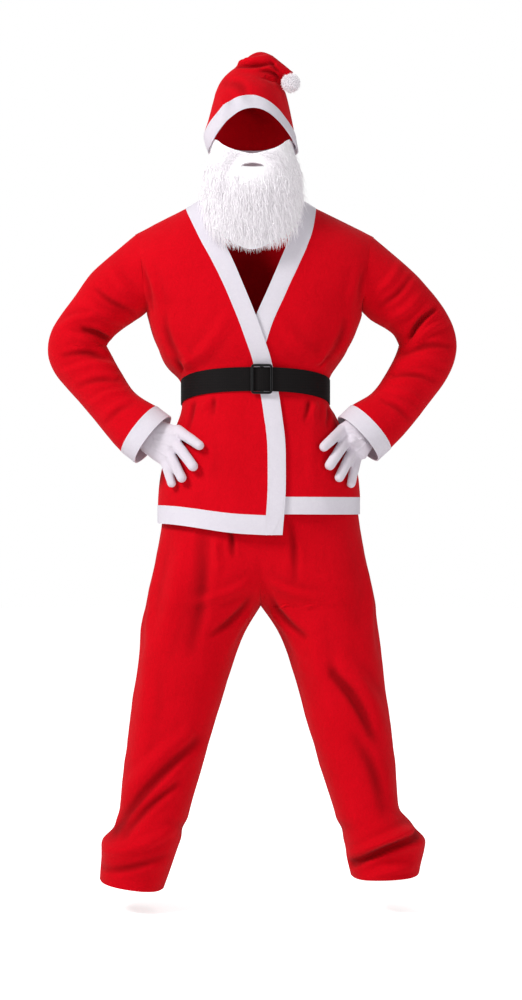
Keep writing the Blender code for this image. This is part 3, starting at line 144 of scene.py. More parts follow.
TROUSER_FOLDS = {
    "front": (
        (333, -1312, 203, -1368, 12, -13, -8), (342, -1290, 214, -1342, 13, 7, -6),
        (318, -1372, 232, -1392, 12, 5, -4), (163, -970, 240, -1090, 16, -7, 10),
        (190, -950, 262, -1066, 18, 4.5, 8), (-129, -1117, -296, -1300, 15, -6, -10),
        (-150, -1096, -300, -1250, 18, 4, -8), (-172, -1203, -272, -1300, 13, -6, -6),
        (-186, -1300, -330, -1342, 15, 5, 8), (-200, -1352, -322, -1378, 12, -4, 5),
        (-152, -685, -206, -915, 24, 5, 8), (-110, -700, -132, -900, 20, -4, 8),
        (-61, -650, -48, -712, 8, -6, 3), (-80, -655, -78, -740, 10, 3.5, -3),
        (70, -655, 82, -760, 11, -3.5, 4), (-12, -812, -86, -880, 11, -5, 6),
        (30, -812, 96, -884, 11, -5, -6), (-6, -770, -110, -810, 14, 3.5, 8),
        (24, -770, 120, -806, 14, 3.5, -8), (120, -880, 150, -1010, 22, 3.5, -8),
        (214, -1110, 262, -1240, 18, -4, 9), (-230, -940, -246, -1110, 20, 3.5, 8),
    ),
    "back": (
        (14, -800, 128, -872, 14, -6, -10), (-2, -800, -112, -872, 14, -6, 10),
        (20, -770, 150, -810, 16, 4.5, -10), (-6, -770, -136, -812, 16, 4.5, 10),
        (130, -890, 190, -1060, 22, 4, 10), (-120, -890, -182, -1060, 22, 4, -10),
        (150, -1060, 262, -1120, 15, -5, 8), (-140, -1064, -258, -1124, 15, -5, -8),
        (206, -1262, 330, -1312, 15, -8, 8), (-196, -1266, -318, -1316, 15, -8, -8),
        (214, -1300, 340, -1352, 15, 6, 6), (-208, -1306, -330, -1352, 15, 6, -6),
        (216, -1362, 330, -1384, 12, -4, 4),
    ),
    **dict.fromkeys(
        SIDES,
        (
            (-50, -1290, 50, -1322, 18, -2.5, 6), (-40, -700, -60, -900, 22, 4, 6),
            (30, -900, 10, -1120, 20, -3.5, 8),
        ),
    ),
}
HAT_FOLDS = {
    "front": (
        (-36, 311, 32, 315, 7, -7, -4), (-44, 325, 24, 330, 9, 5, -5), (16, 297, 45, 286, 6, -6, 3),
        (6, 285, 40, 272, 8, 4.5, 3), (34, 314, 50, 296, 6, -5, -2), (40, 284, 52, 256, 7, -4.5, -3),
        (-80, 250, -66, 200, 12, 3.5, 6), (-60, 270, -20, 232, 16, -3, 10), (60, 240, 72, 196, 10, 3, -4),
    ),
    "back": (
        (-40, 312, 24, 300, 9, -5, 5), (-50, 290, 30, 284, 12, 4, 5), (-60, 250, 10, 220, 16, -3.5, 8),
        (20, 262, 58, 214, 14, 3.5, 6),
    ),
}
FACES = {
    # face: the way it looks, and the axis across it
    "front": ((0.0, -1.0, 0.0), 0),
    "back": ((0.0, 1.0, 0.0), 0),
    "left": ((1.0, 0.0, 0.0), 1),
    "right": ((-1.0, 0.0, 0.0), 1),
}
FACE_TURN = (-0.05, 0.55)  # a face's folds fade in from this much of its way, over this much
FOLD_WIDTH = 0.72
COUNTER_FOLDS = ((0.35, 1.7), (0.15, -1.9))  # their share of the rise, and their place in half widths
FOLD_END = 1.8  # how far a fold fades out past its ends, in half widths
FOLD_CUTS = 2
FOLD_LEAST, FOLD_REACH = 0.8, 2.4  # the mesh is cut finer from this rise on, and this far out in half widths
FOLD_EDGE = 0.62  # its longest edge there, in half widths
FOLD_BODY = (0.45, 0.55)  # a fold's rise at its ends, and what its middle has more
TROUGH_DEPTH = 5.5  # a trough this deep has its full painted shade
SOFTNESS = {"jacket": 0.9, "sleeves": 0.8, "trousers": 1.2, "hat": 1.2, "hat trim": 0.8}
UNEVENNESS = ((70.0, 1.0), (26.0, 0.4))  # size and share of each slow noise
NOISE_SHIFT = (7.3, 3.1, 11.9)  # for each step of the seed
# Lines that the garments' tubes run along, from which their folds stand out: across, depth, height.
ARM_LINES = {
    "right": (
        (-236, 0, -118), (-300, 2, -170), (-372, 16, -252),
        (-362, 12, -321), (-298, -26, -407), (-205, -65, -490),
    ),
    "left": (
        (232, 0, -118), (290, 2, -172), (355, 16, -240),
        (353, 12, -318), (290, -26, -409), (200, -65, -490),
    ),
}
LEG_LINES = {
    "right": ((-110, 0, -700), (-116, 0, -860), (-180, 0, -1134), (-240, 0, -1330), (-262, 0, -1430)),
    "left": ((130, 0, -700), (136, 0, -860), (205, 0, -1134), (270, 0, -1330), (285, 0, -1410)),
}
HAT_LINE = (
    (-8, 4, 120), (-12, 6, 200), (-10, 9, 262), (4, 8, 290),
    (41, -2, 307), (67, -18, 291), (74, -36, 282),
)
TORSO = (-1, 215, 137)  # centre, half width, half depth
SHOULDER_TURN = (-150, 130, 0.8)  # above this height, over this much, the jacket's folds lift by this share
LEGS_PART = (10, 740, 110)  # across, how far down the legs' own lines begin to count, over this much
# Where folds are held back: a start, and over how much they fade.
BELT_BAND = (-378, 24, 27, 20)  # height at the sides, rise to the front, half height kept flat, fade
BELT_REACH = 156  # half the belt's width across the waist
GLOVE_REACH = 14
SKIRT_HEM = (540, 40)
UNDER_JACKET = (-700, 30)
CENTRE_SEAM = (10, 8, 24)  # across, half width held still, fade
CROTCH = (850, 40)
ARMHOLE = (226, 34)

# ------------------------------------------------------------------ sheets of cloth, flat sizes in metres
FLAT_SIZES = {
    # node: width, length, area, how it is held, what it rests on
    "jacket_back": (0.60, 0.68, 0.335, "hung", "neck_trim"),
    "jacket_front_left": (0.33, 0.68, 0.145, "hung", "front_trim_left"),
    "jacket_front_right": (0.34, 0.71, 0.150, "hung", "front_trim_right"),
    "sleeve_left": (0.44, 0.47, 0.165, "hung", "jacket_front_left"),
    "sleeve_right": (0.44, 0.49, 0.174, "hung", "jacket_front_right"),
    "front_trim_left": (0.040, 0.79, 0.0310, "hung", "jacket_front_left"),
    "front_trim_right": (0.040, 0.84, 0.0334, "hung", "jacket_front_right"),
    "hem_trim_left": (0.040, 0.31, 0.0123, "hung", "jacket_front_left"),
    "hem_trim_right": (0.040, 0.32, 0.0128, "hung", "jacket_front_right"),
    "hem_trim_back": (0.042, 0.56, 0.0234, "hung", "jacket_back"),
    "neck_trim": (0.040, 0.30, 0.0115, "hung", "jacket_back"),
    "cuff_left": (0.039, 0.36, 0.0137, "hung", "sleeve_left"),
    "cuff_right": (0.039, 0.36, 0.0136, "hung", "sleeve_right"),
    "trouser_front_left": (0.37, 0.96, 0.270, "hung", "waistband"),
    "trouser_front_right": (0.37, 0.98, 0.275, "hung", "waistband"),
    "trouser_back_left": (0.38, 0.96, 0.273, "hung", "waistband"),
    "trouser_back_right": (0.38, 0.98, 0.279, "hung", "waistband"),
    "waistband": (0.032, 0.92, 0.0294, "gathered", "trouser_back_left"),
    "hat_crown": (0.62, 0.30, 0.092, "hung", "hat_trim"),
    "hat_trim": (0.036, 0.63, 0.0226, "hung", "hat_crown"),
    "beard_strap": (0.010, 0.38, 0.0036, "stretched", "hat_trim"),
    "belt": (0.049, 1.22, 0.0597, "laid", "jacket_back"),
}
BODY_NODES = ("jacket_back", "jacket_front_left", "jacket_front_right")
SLEEVE_NODES = ("sleeve_left", "sleeve_right")
TRIM_NODES = tuple(node for node in FLAT_SIZES if "_trim" in node and node != "hat_trim")
CUFF_NODES = ("cuff_left", "cuff_right")
TROUSER_NODES = (*[node for node in FLAT_SIZES if node.startswith("trouser")], "waistband")

# ------------------------------------------------------------------ gloves
GLOVE_RING = 28
GLOVE_RUN = (0.4, 0.35)  # how far the hand runs on past the wrist and past the knuckles, in gaps of its rings
KNUCKLE_TAPER = (0.84, 0.6)
GLOVE_BALL_STEP = 2.2
GLOVE_VOXEL = 1.85
GLOVE_SMOOTHING = 18
GLOVE_SHRINK = 0.5  # what smoothing takes off a digit
GLOVE_WALL = 1.2
DART_RIDGE = (1.1, 1.9)  # rise, half width
DART_DIP = (0.35, 4.2, 2.2)  # depth, place, half width
DART_FACE = (0.2, 0.4)  # the darts fade in where the back of the hand looks forwards
GLOVE_RUMPLE = (0.45, 16.0)  # rise, size
GLOVE_HANDS = {
    # rings from the wrist to the knuckles: across, depth, height, half width, half thickness, and the way
    # across the palm
    "left": (
        (250, -48, -448, 31, 25, -0.46, -0.12, 0.88),
        (230, -60, -460, 36, 23, -0.44, -0.12, 0.89),
        (213, -74, -470, 42, 19, -0.60, -0.12, 0.79),
        (197.5, -66.9, -486, 46, 16, -0.71, 0.05, 0.71),
    ),
    "right": (
        (-250, -48, -452, 31, 25, 0.48, -0.07, 0.88),
        (-226, -60, -466, 36, 23, 0.47, -0.07, 0.88),
        (-203, -74, -479, 41, 19, 0.45, -0.06, 0.89),
        (-175.3, -84.1, -493.2, 45, 16, 0.44, -0.05, 0.90),
    ),
}
GLOVE_DIGITS = {
    # across, depth, height and radius from each digit's root to its tip, the thumb last
    "left": (
        ((184, -69.5, -454, 12), (166.8, -94, -470, 11.2), (153.9, -112.4, -482, 10.6),
         (141, -122.3, -494, 10)),
        ((193, -66.3, -473, 12), (177, -97.2, -496.6, 11.4), (165, -113.7, -514.3, 10.9),
         (153, -123.3, -532, 10.5)),
        ((203, -67.7, -500, 11.5), (191, -94.7, -522.8, 10.9), (182, -107.3, -539.9, 10.4),
         (173, -114.6, -557, 10)),
        ((210, -64.3, -517, 11), (205.2, -82.5, -538.2, 10.2), (201.6, -88.8, -554.1, 9.6),
         (198, -93.8, -570, 9)),
        ((202, -82, -478, 12), (198, -64, -476, 11), (196, -48, -477, 10)),
    ),
    "right": (
        ((-163, -82.8, -459, 12), (-144.6, -107.6, -471.8, 11.2), (-130.8, -116.7, -481.4, 10.6),
         (-117, -123.1, -491, 10)),
        ((-170, -84.1, -482, 12), (-154, -108.5, -502.8, 11.4), (-142, -117.6, -518.4, 10.9),
         (-130, -124.3, -534, 10.5)),
        ((-179, -88.3, -509, 11.5), (-169, -102.4, -528.6, 10.9), (-161.5, -109.6, -543.3, 10.4),
         (-154, -114.5, -558, 10)),
        ((-189, -81.1, -523, 11), (-183.4, -91.3, -541.4, 10.2), (-179.2, -95.9, -555.2, 9.6),
         (-175, -99.8, -569, 9)),
        ((-193, -84, -482, 12), (-190, -62, -478, 11), (-189, -42, -477, 10)),
    ),
}
GLOVE_DARTS = {
    # across, height, across, height: from between the knuckles towards the wrist
    "left": ((190, -462, 222, -462), (198, -484, 226, -474), (206, -505, 229, -486)),
    "right": ((-168, -468, -205, -466), (-175, -492, -212, -478), (-185, -514, -218, -492)),
}

# ------------------------------------------------------------------ beard and pompom
BEARD_AXIS = (-8, 10)  # across, depth of the line that the beard curves round
BEARD_PART = -6.5  # across, where the moustache parts
BEARD_LUMPS = (1.6, 16.0, 2.5)  # the backing's lumps: rise, size, and how far it is drawn in
MOUTH = (84, 30.0, 20.0)  # height, and the half width and half height of the short pile round it
# The moustache is combed to the sides above this height, over this much, and out to this far, over this much.
MOUSTACHE = (82, 14, 30, 45)
CHEEK = (60, 30)
FULL_LENGTH = (150, 90)  # how far down from this height, over this much, the pile is at its longest
BEARD_BOTTOM = -86  # where the pile ends
POMPOM_CORE = 0.74  # the pompom's core, as a share of the radius that its strands reach
POMPOM_LUMPS = (0.06, 9.0)  # rise, as a share of the radius, and size
OUTWARD = 0.25  # pile grows on faces that look out at least this much
PILE_DENSITY = 1.5e6
PILE_SIZES = (0.7, 1.2)
LOCK = (1.15, 2.4, 0.28)  # radius, wave, spread
WISP = (0.6, 3.4, 0.5)
WISP_SHARES = (1.15, 1.25)  # length and spacing of the wisps, as shares of the locks'
STRAND = (0.6, 0.8, 0.5)  # the pompom's strands, as the locks
STRAND_LENGTH = 1.25  # as a share of the gap from core to surface
FUR_COLOURS = ((0.86, 0.82, 0.86), (0.93, 0.90, 0.93))  # two tones, which noise mixes in clumps

# ------------------------------------------------------------------ seams, belt and buckle
SEAM_REACH = 1.6  # an edge this near to its neighbour is sewn to it
STITCH_SIZE = (3.4, 0.32)  # length, radius
STITCH_PITCH, STITCH_INSET, STITCH_LIFT = 4.6, 4.0, 0.1
STITCH_STEP = 6.0  # between places where a line of stitches is laid on the cloth
WAIST = (-2, 157, 110)  # centre, half width and half depth of the line that the belt is measured along
BUCKLE_DEPTH, BUCKLE_CORNER, BUCKLE_BAR, BUCKLE_DEEP, BUCKLE_EDGE = 2.2, 7.0, 5.0, 4.4, 1.6

# ------------------------------------------------------------------ stage, in metres
CAMERA_PLACE = (0.0106, -0.604)  # across, height
LAMP_TARGET = (0.0, 0.0, -0.6)
LAMPS = (
    # name, place, size, the setting of its power, and its share of that
    ("key", (-3.2, -2.2, 2.5), 1.5, "key", 1.0),
    ("fill", (2.4, -3.6, -0.9), 2.6, "fill", 1.0),
    ("rim", (0.6, 3.4, 2.2), 2.6, "fill", 0.5),
)
FLOOR_GLOW = 0.66


# ------------------------------------------------------------------ meshes
def millimetres(values):
    return np.asarray(values, float) * MM


def read_points(mesh):
    points = np.empty(len(mesh.vertices) * 3)
    mesh.vertices.foreach_get("co", points)
    return points.reshape(-1, 3)


def write_points(mesh, points):
    mesh.vertices.foreach_set("co", np.ascontiguousarray(points).ravel())
    mesh.update()


def shape_of(mesh):
    shape = bmesh.new()
    shape.from_mesh(mesh)
    return shape


def put_in(mesh, shape):
    """Puts a shape in a mesh and frees the shape."""
    shape.to_mesh(mesh)
    shape.free()
    return mesh


def smooth_mesh(name, shape):
    mesh = put_in(bpy.data.meshes.new(name), shape)
    mesh.shade_smooth()
    return mesh


def welded(node):
    """A node's mesh with its doubles merged and its triangles paired into quads."""
    shape = shape_of(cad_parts[node].data)
    bmesh.ops.remove_doubles(shape, verts=shape.verts, dist=WELD * MM)
    bmesh.ops.join_triangles(
        shape, faces=shape.faces, angle_face_threshold=PAIR_BEND, angle_shape_threshold=PAIR_SKEW
    )
    return shape


def linked(name, data):
    """A new object in the scene."""
    obj = bpy.data.objects.new(name, data)
    bpy.context.scene.collection.objects.link(obj)
    return obj


def add_piece(name, mesh, material, node=None):
    """A visible piece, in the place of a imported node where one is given."""
    piece = linked(name, mesh)
    mesh.materials.clear()
    mesh.materials.append(material)
    if node:
        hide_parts(node)
    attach(piece, BODY)
    return piece


def baked(obj, name):
    """The object's evaluated mesh, plain; the object itself is removed."""
    graph = bpy.context.evaluated_depsgraph_get()
    mesh = bpy.data.meshes.new_from_object(obj.evaluated_get(graph))
    mesh.name = name
    if mesh.has_custom_normals:
        mesh.attributes.remove(mesh.attributes["custom_normal"])
    bpy.data.objects.remove(obj)
    return mesh


def modified(name, mesh, *modifiers):
    """The mesh after modifiers, each a type with its settings."""
    rough = linked(name + "_rough", mesh)
    for kind, settings in modifiers:
        modifier = rough.modifiers.new(kind, kind)
        for key, value in settings.items():
            setattr(modifier, key, value)
    return baked(rough, name)


def rim_shaded(mesh):
    """Smooth shading that stays sharp at cut edges."""
    mesh.shade_smooth()
    mesh.set_sharp_from_angle(angle=RIM_ANGLE)
    return mesh


def is_rim(edge):
    return len(edge.link_faces) == 2 and edge.calc_face_angle() > RIM_ANGLE


def let_out(shape):
    """Lets the cut edges out a little, so that panels which are sewn together meet."""
    moves = {}
    for face in shape.faces:
        rims = [edge for edge in face.edges if is_rim(edge)]
        if len(rims) < 2 or min(edge.calc_length() for edge in face.edges) > RIM_WIDTH * MM:
            continue
        for vertex in face.verts:
            moves[vertex] = moves.get(vertex, Vector()) + face.normal
    for vertex, way in moves.items():
        if way.length > 0.0:
            vertex.co += way.normalized() * SEAM_LET_OUT * MM


def subdivided(name, shape):
    """A smooth mesh of the shape that keeps the cloth's cut edges."""
    shape.normal_update()
    let_out(shape)
    crease = shape.edges.layers.float.new("crease_edge")
    for edge in shape.edges:
        if is_rim(edge):
            edge[crease] = 1.0
    mesh = put_in(bpy.data.meshes.new(name), shape)
    return rim_shaded(modified(name, mesh, ("SUBSURF", {"levels": FINE_LEVELS, "render_levels": FINE_LEVELS})))


def circle(corners):
    """Cosine and sine of each corner's turn."""
    turns = (2.0 * math.pi * corner / corners for corner in range(corners))
    return [(math.cos(turn), math.sin(turn)) for turn in turns]


def ring_of(shape, places):
    return [shape.verts.new(Vector(place) * MM) for place in places]


def bridge(shape, rings, following):
    """Joins each ring of corners to the one that follows it."""
    for low, high in zip(rings, following):
        for corner in range(len(low)):
            after = (corner + 1) % len(low)
            shape.faces.new((low[corner], low[after], high[after], high[corner]))


def loft(shape, rings):
    """A closed form through rings of corners."""
    bridge(shape, rings, rings[1:])
    shape.faces.new(rings[0][::-1])
    shape.faces.new(rings[-1])


# ------------------------------------------------------------------ which way is out of a garment
def smooth_step(value):
    value = np.clip(value, 0.0, 1.0)
    return value * value * (3.0 - 2.0 * value)


def ramp(lengths, start, over):
    """0 up to a start and 1 from there on, smoothly over a length; both are in millimetres."""
    return smooth_step((lengths / MM - start) / over)


def unit(vectors):
    return vectors / np.maximum(np.linalg.norm(vectors, axis=-1, keepdims=True), 1e-9)


def out_of_torso(points):
    centre, half_width, half_depth = TORSO
    out = np.zeros_like(points)
    out[:, 0] = (points[:, 0] / MM - centre) / half_width**2
    out[:, 1] = points[:, 1] / MM / half_depth**2
    out = unit(out)
    start, over, share = SHOULDER_TURN
    lift = ramp(points[:, 2], start, over) * share
    out *= (1.0 - lift)[:, None]
    out[:, 2] += lift
    return unit(out)


def out_of_line(points, line):
    """Away from the nearest point of a line of corners."""
    corners = millimetres(line)
    best = np.full(len(points), np.inf)
    out = np.zeros_like(points)
    for start, end in zip(corners, corners[1:]):
        along = end - start
        share = np.clip(((points - start) @ along) / (along @ along), 0.0, 1.0)
        gap = points - start - share[:, None] * along
        away = gap - (gap @ unit(along))[:, None] * unit(along)
        size = np.linalg.norm(gap, axis=1)
        nearer = size < best
        best[nearer] = size[nearer]
        out[nearer] = away[nearer]
    return unit(out)


def out_of_arm(points):
    side = "left" if points[:, 0].mean() > 0 else "right"
    return out_of_line(points, ARM_LINES[side])


def out_of_legs(points):
    middle, start, over = LEGS_PART
    hips = out_of_torso(points)
    left, right = (out_of_line(points, LEG_LINES[side]) for side in SIDES)
    legs = np.where((points[:, 0] > middle * MM)[:, None], left, right)
    lower = ramp(-points[:, 2], start, over)[:, None]
    return unit(hips * (1.0 - lower) + legs * lower)


def out_of_hat(points):
    return out_of_line(points, HAT_LINE)


# ------------------------------------------------------------------ folds on a mesh
def fold_field(points, out, folds):
    """How far each point moves out, from a table of folds, and how long the edges there may be.

    Each fold has softer counter-folds beside it.
    """
    total = np.zeros(len(points))
    longest = np.full(len(points), np.inf)
    for face, rows in folds.items():
        looks, axis = FACES[face]
        seen = smooth_step((out @ np.array(looks) - FACE_TURN[0]) / FACE_TURN[1])
        flat = points[:, (axis, 2)] / MM
        for a0, z0, a1, z1, half_width, rise, bow in rows:
            half_width *= FOLD_WIDTH
            start, end = np.array((a0, z0), float), np.array((a1, z1), float)
            line = end - start
            length = np.linalg.norm(line)
            along = (flat - start) @ line / length**2
            side = (flat - start) @ np.array((-line[1], line[0])) / length
            side = side - bow * (1.0 - (2.0 * np.clip(along, 0, 1) - 1.0) ** 2)
            beyond = np.maximum(np.maximum(-along, along - 1.0), 0.0) * length
            across = side / half_width
            shape = np.exp(-(across**2))
            for share, place in COUNTER_FOLDS:
                shape -= share * np.exp(-((across - place) ** 2))
            fade = np.exp(-((beyond / (FOLD_END * half_width)) ** 2))
            body = FOLD_BODY[0] + FOLD_BODY[1] * np.sin(math.pi * np.clip(along, 0.05, 0.95))
            total += rise * shape * fade * body * seen
            near = abs(rise) * np.exp(-((across / FOLD_REACH) ** 2)) * fade * seen > FOLD_LEAST
            longest[near] = np.minimum(longest[near], FOLD_EDGE * half_width * MM)
    return total * bpy.context.scene.suit_cloth.crease, longest


def refined(mesh, out_of, folds):
    """Cuts a mesh finer where its folds run."""
    for _ in range(FOLD_CUTS):
        points = read_points(mesh)
        longest = fold_field(points, out_of(points), folds)[1]
        shape = shape_of(mesh)
        coarse = [e for e in shape.edges if e.calc_length() > min(longest[v.index] for v in e.verts)]
        bmesh.ops.subdivide_edges(shape, edges=coarse, cuts=1, use_grid_fill=True)
        bmesh.ops.triangulate(shape, faces=[face for face in shape.faces if len(face.verts) > 4])
        put_in(mesh, shape)


def unevenness(points, size, seed):
    """Slow noise, from -1 to 1, that no two stretches of cloth share."""
    scale = 1.0 / (size * MM)
    shift = Vector([seed * step for step in NOISE_SHIFT])
    return np.array([noise.noise(Vector(point) * scale + shift) for point in points])


def belt_mask(points):
    """0 where the belt presses the jacket flat, 1 away from it."""
    height, rise, flat, fade = BELT_BAND
    share = np.clip(np.abs(points[:, 0] / MM - TORSO[0]) / BELT_REACH, 0, 1)
    middle = height + np.where(points[:, 1] < 0, rise, -0.25 * rise) * (1.0 - share**2.5) ** 0.5
    return smooth_step((np.abs(points[:, 2] / MM - middle) - flat) / fade)


def near_gloves(points):
    """1 under the gloves' fingers, 0 away from them."""
    close = np.zeros(len(points))
    for side in SIDES:
        low, high = (np.array(corner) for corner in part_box("glove_" + side))
        gap = np.maximum(np.maximum(low - points, points - high), 0.0)
        close = np.maximum(close, 1.0 - ramp(np.linalg.norm(gap, axis=1), 0.0, GLOVE_REACH))
    return close


def crumple(mesh, out_of, folds, soft, seed, limits):
    """Moves a mesh out and in by its folds and by a slow unevenness; limits may hold parts of it back. It
    stores each point's depth in a trough, for the shade painted there.
    """
    points = read_points(mesh)
    out = out_of(points)
    height = fold_field(points, out, folds)[0]
    if limits:
        height = limits(points, height)
    # Painted shade: the deeper a point lies in a trough, the darker its felt is painted there.
    trough = np.clip(-height / TROUGH_DEPTH, 0.0, 1.0)
    mesh.attributes.new("trough", "FLOAT", "POINT").data.foreach_set("value", trough)
    slow = enumerate(UNEVENNESS)
    height += sum(share * soft * unevenness(points, size, seed + step) for step, (size, share) in slow)
    if limits:
        height = limits(points, height)
    write_points(mesh, points + out * (height * MM)[:, None])


def jacket_limits(points, height):
    """Flat under the belt, nothing swells into the gloves, and the hem has hardly any troughs."""
    height = height * belt_mask(points)
    height = np.where(height > 0, height * (1.0 - near_gloves(points)), height)
    return np.where(height < 0, height * (1.0 - 0.9 * ramp(-points[:, 2], *SKIRT_HEM)), height)


def trouser_limits(points, height):
    """Nothing swells under the jacket, and the centre seam stays shut down to the crotch."""
    height = np.where(height > 0, height * (1.0 - ramp(points[:, 2], *UNDER_JACKET)), height)
    middle, *still = CENTRE_SEAM
    beside = ramp(np.abs(points[:, 0] - middle * MM), *still)
    return height * np.maximum(beside, ramp(-points[:, 2], *CROTCH))


def sleeve_limits(points, height):
    """The armhole seam stays where the body's panels end."""
    return height * ramp(np.abs(points[:, 0]), *ARMHOLE)


# ------------------------------------------------------------------ nodes
def built_once(store):
    """For a builder whose first argument names what it builds: it gives what is there already."""

    def wrap(build):
        return lambda name, *details: getattr(bpy.data, store).get(name) or build(name, *details)

    return wrap


def new_tree(kind, name, inputs, outputs):
    """A node group with named sockets, as (tree, its inputs by name, the node that takes its outputs)."""
    tree = bpy.data.node_groups.new(name, kind)
    for way, sockets in (("INPUT", inputs), ("OUTPUT", outputs)):
        for title, socket in sockets.items():
            tree.interface.new_socket(name=title, in_out=way, socket_type="NodeSocket" + socket)
    given = {socket.name: socket for socket in tree.nodes.new("NodeGroupInput").outputs}
    return tree, given, tree.nodes.new("NodeGroupOutput")


def plug(tree, node, inputs):
    """Links a socket to, or sets a value at, each of a node's inputs that is named or numbered."""
    for key, value in inputs.items():
        if isinstance(value, bpy.types.NodeSocket):
            tree.links.new(value, node.inputs[key])
        else:
            node.inputs[key].default_value = value


def add_node(tree, kind, inputs=None, **settings):
    node = tree.nodes.new(kind)
    for name, value in settings.items():
        setattr(node, name, value)
    plug(tree, node, inputs or {})
    return node


def reckoned(tree, operation, *values, clamp=False):
    values = dict(enumerate(values))
    return add_node(tree, "ShaderNodeMath", values, operation=operation, use_clamp=clamp).outputs[0]


def mixed(tree, factor, first, second):
    """The output of a colour mix between two sockets or colours."""
    return add_node(tree, "ShaderNodeMix", {0: factor, 6: first, 7: second}, data_type="RGBA").outputs[2]


def noise_of(tree, vector, scale, detail, roughness, distortion=0.0):
    titles = ("Vector", "Scale", "Detail", "Roughness", "Distortion")
    values = dict(zip(titles, (vector, scale, detail, roughness, distortion)))
    return add_node(tree, "ShaderNodeTexNoise", values).outputs["Fac"]


def object_space(tree):
    return add_node(tree, "ShaderNodeTexCoord").outputs["Object"]


def bumped(tree, height, strength, distance):
    values = {"Height": height, "Strength": strength, "Distance": distance * MM}
    return add_node(tree, "ShaderNodeBump", values).outputs["Normal"]


@built_once("node_groups")
def felt_nap(name):
    """Pressed fibre: fine tangled grain, pilled spots and a slow mottling of the dye."""
    tree, given, made = new_tree(
        "ShaderNodeTree",
        name,
        {"Vector": "Vector", "Colour": "Color", "Shade": "Color", "Fibre Scale": "Float"},
        {"Colour": "Color", "Height": "Float", "Roughness": "Float"},
    )
    vector, scale = given["Vector"], given["Fibre Scale"]
    fibres = noise_of(tree, vector, scale, 6.0, 0.72, 1.6)
    coarse = noise_of(tree, vector, reckoned(tree, "MULTIPLY", scale, 0.24), 4.0, 0.6, 0.8)
    mottle = noise_of(tree, vector, 14.0, 3.0, 0.55)
    grain = reckoned(tree, "MULTIPLY_ADD", coarse, 0.88, -0.6261)
    amount = reckoned(tree, "MULTIPLY_ADD", mottle, 0.675, grain, clamp=True)
    height = reckoned(tree, "MULTIPLY_ADD", fibres, 0.6, reckoned(tree, "MULTIPLY", coarse, 0.8))
    rough = reckoned(tree, "MULTIPLY_ADD", coarse, 0.2, 0.82)
    colour = mixed(tree, amount, given["Shade"], given["Colour"])
    plug(tree, made, {"Colour": colour, "Height": height, "Roughness": rough})
    return tree


@built_once("node_groups")
def soft_ripple(name):
    """Shallow rumpling of loosely hung cloth, finer than the modelled folds."""
    sockets = {"Vector": "Vector", "Height": "Float", "Amount": "Float"}
    tree, given, made = new_tree("ShaderNodeTree", name, sockets, {"Height": "Float"})
    wide = noise_of(tree, given["Vector"], 26.0, 2.0, 0.5, 0.6)
    narrow = noise_of(tree, given["Vector"], 80.0, 2.0, 0.5, 0.9)
    rumple = reckoned(tree, "MULTIPLY_ADD", narrow, 0.3, wide)
    plug(tree, made, {"Height": reckoned(tree, "MULTIPLY_ADD", rumple, given["Amount"], given["Height"])})
    return tree


@built_once("node_groups")
def woven_rib(name):
    """Webbing: warp ribs along it crossed by the weft, from a UV map in metres, with a painted highlight that
    lightens the ribs' tops.
    """
    sockets = {"Vector": "Vector", "Colour": "Color", "Lit": "Color", "Rib Scale": "Float"}
    tree, given, made = new_tree("ShaderNodeTree", name, sockets, {"Colour": "Color", "Height": "Float"})
    ribs = []
    for direction, share in (("X", 1.0), ("Y", 0.62)):
        scale = reckoned(tree, "MULTIPLY", given["Rib Scale"], share)
        values = {"Vector": given["Vector"], "Scale": scale, "Distortion": 0.6, "Detail": 1.0}
        ribs.append(add_node(tree, "ShaderNodeTexWave", values, bands_direction=direction).outputs["Fac"])
    weave = reckoned(tree, "MULTIPLY", *ribs)
    fuzz = noise_of(tree, given["Vector"], 600.0, 4.0, 0.6)
    # Painted highlight: where the weave stands up, the colour goes towards the lit one.
    colour = mixed(tree, reckoned(tree, "MULTIPLY", weave, fuzz), given["Colour"], given["Lit"])
    plug(tree, made, {"Colour": colour, "Height": reckoned(tree, "MULTIPLY_ADD", fuzz, 0.4, weave)})
    return tree


# ------------------------------------------------------------------ materials
def blank_material(name):
    """A material with only its shader and output, as (material, tree, shader)."""
    material = bpy.data.materials.new(name)
    material.use_nodes = True
    return material, material.node_tree, material.node_tree.nodes["Principled BSDF"]


FELTS = {
    # material: its setting, the scale of its fibres, sheen, ripple
    "red felt": ("red", 800.0, 0.05, 4.0),
    "white felt": ("white", 800.0, 0.15, 1.2),
    "white knit": ("glove", 1500.0, 0.2, 2.5),
}


@built_once("materials")
def felt(name):
    """Needle felt, or the gloves' fine jersey, with its nap, mottling and ripples, and painted shade in the
    troughs of its folds.
    """
    setting, fibre_scale, sheen, ripple = FELTS[name]
    cloth = bpy.context.scene.suit_cloth
    colour, shade = getattr(cloth, setting), getattr(cloth, setting + "_shade")
    material, tree, shader = blank_material(name)
    place = object_space(tree)
    values = {"Vector": place, "Colour": (*colour, 1), "Shade": (*shade, 1), "Fibre Scale": fibre_scale}
    nap = add_node(tree, "ShaderNodeGroup", values, node_tree=felt_nap("Felt Nap")).outputs
    values = {"Vector": place, "Height": nap["Height"], "Amount": ripple}
    rumple = add_node(tree, "ShaderNodeGroup", values, node_tree=soft_ripple("Soft Ripple")).outputs
    trough = add_node(tree, "ShaderNodeAttribute", attribute_name="trough").outputs["Fac"]
    # Painted shade: half of the shade colour, laid into the folds' troughs.
    trough_shade_colour = (*[value * 0.5 for value in shade], 1)
    shading = {
        "Base Color": mixed(tree, reckoned(tree, "MULTIPLY", trough, 0.9), nap["Colour"], trough_shade_colour),
        "Roughness": nap["Roughness"],
        "Sheen Weight": sheen,
        "Sheen Roughness": 0.45,
        "Sheen Tint": (*[0.5 + 0.5 * value for value in colour], 1),
        "Specular IOR Level": 0.08,
        "Normal": bumped(tree, rumple["Height"], 0.55, 0.9),
    }
    plug(tree, shader, shading)
    return material


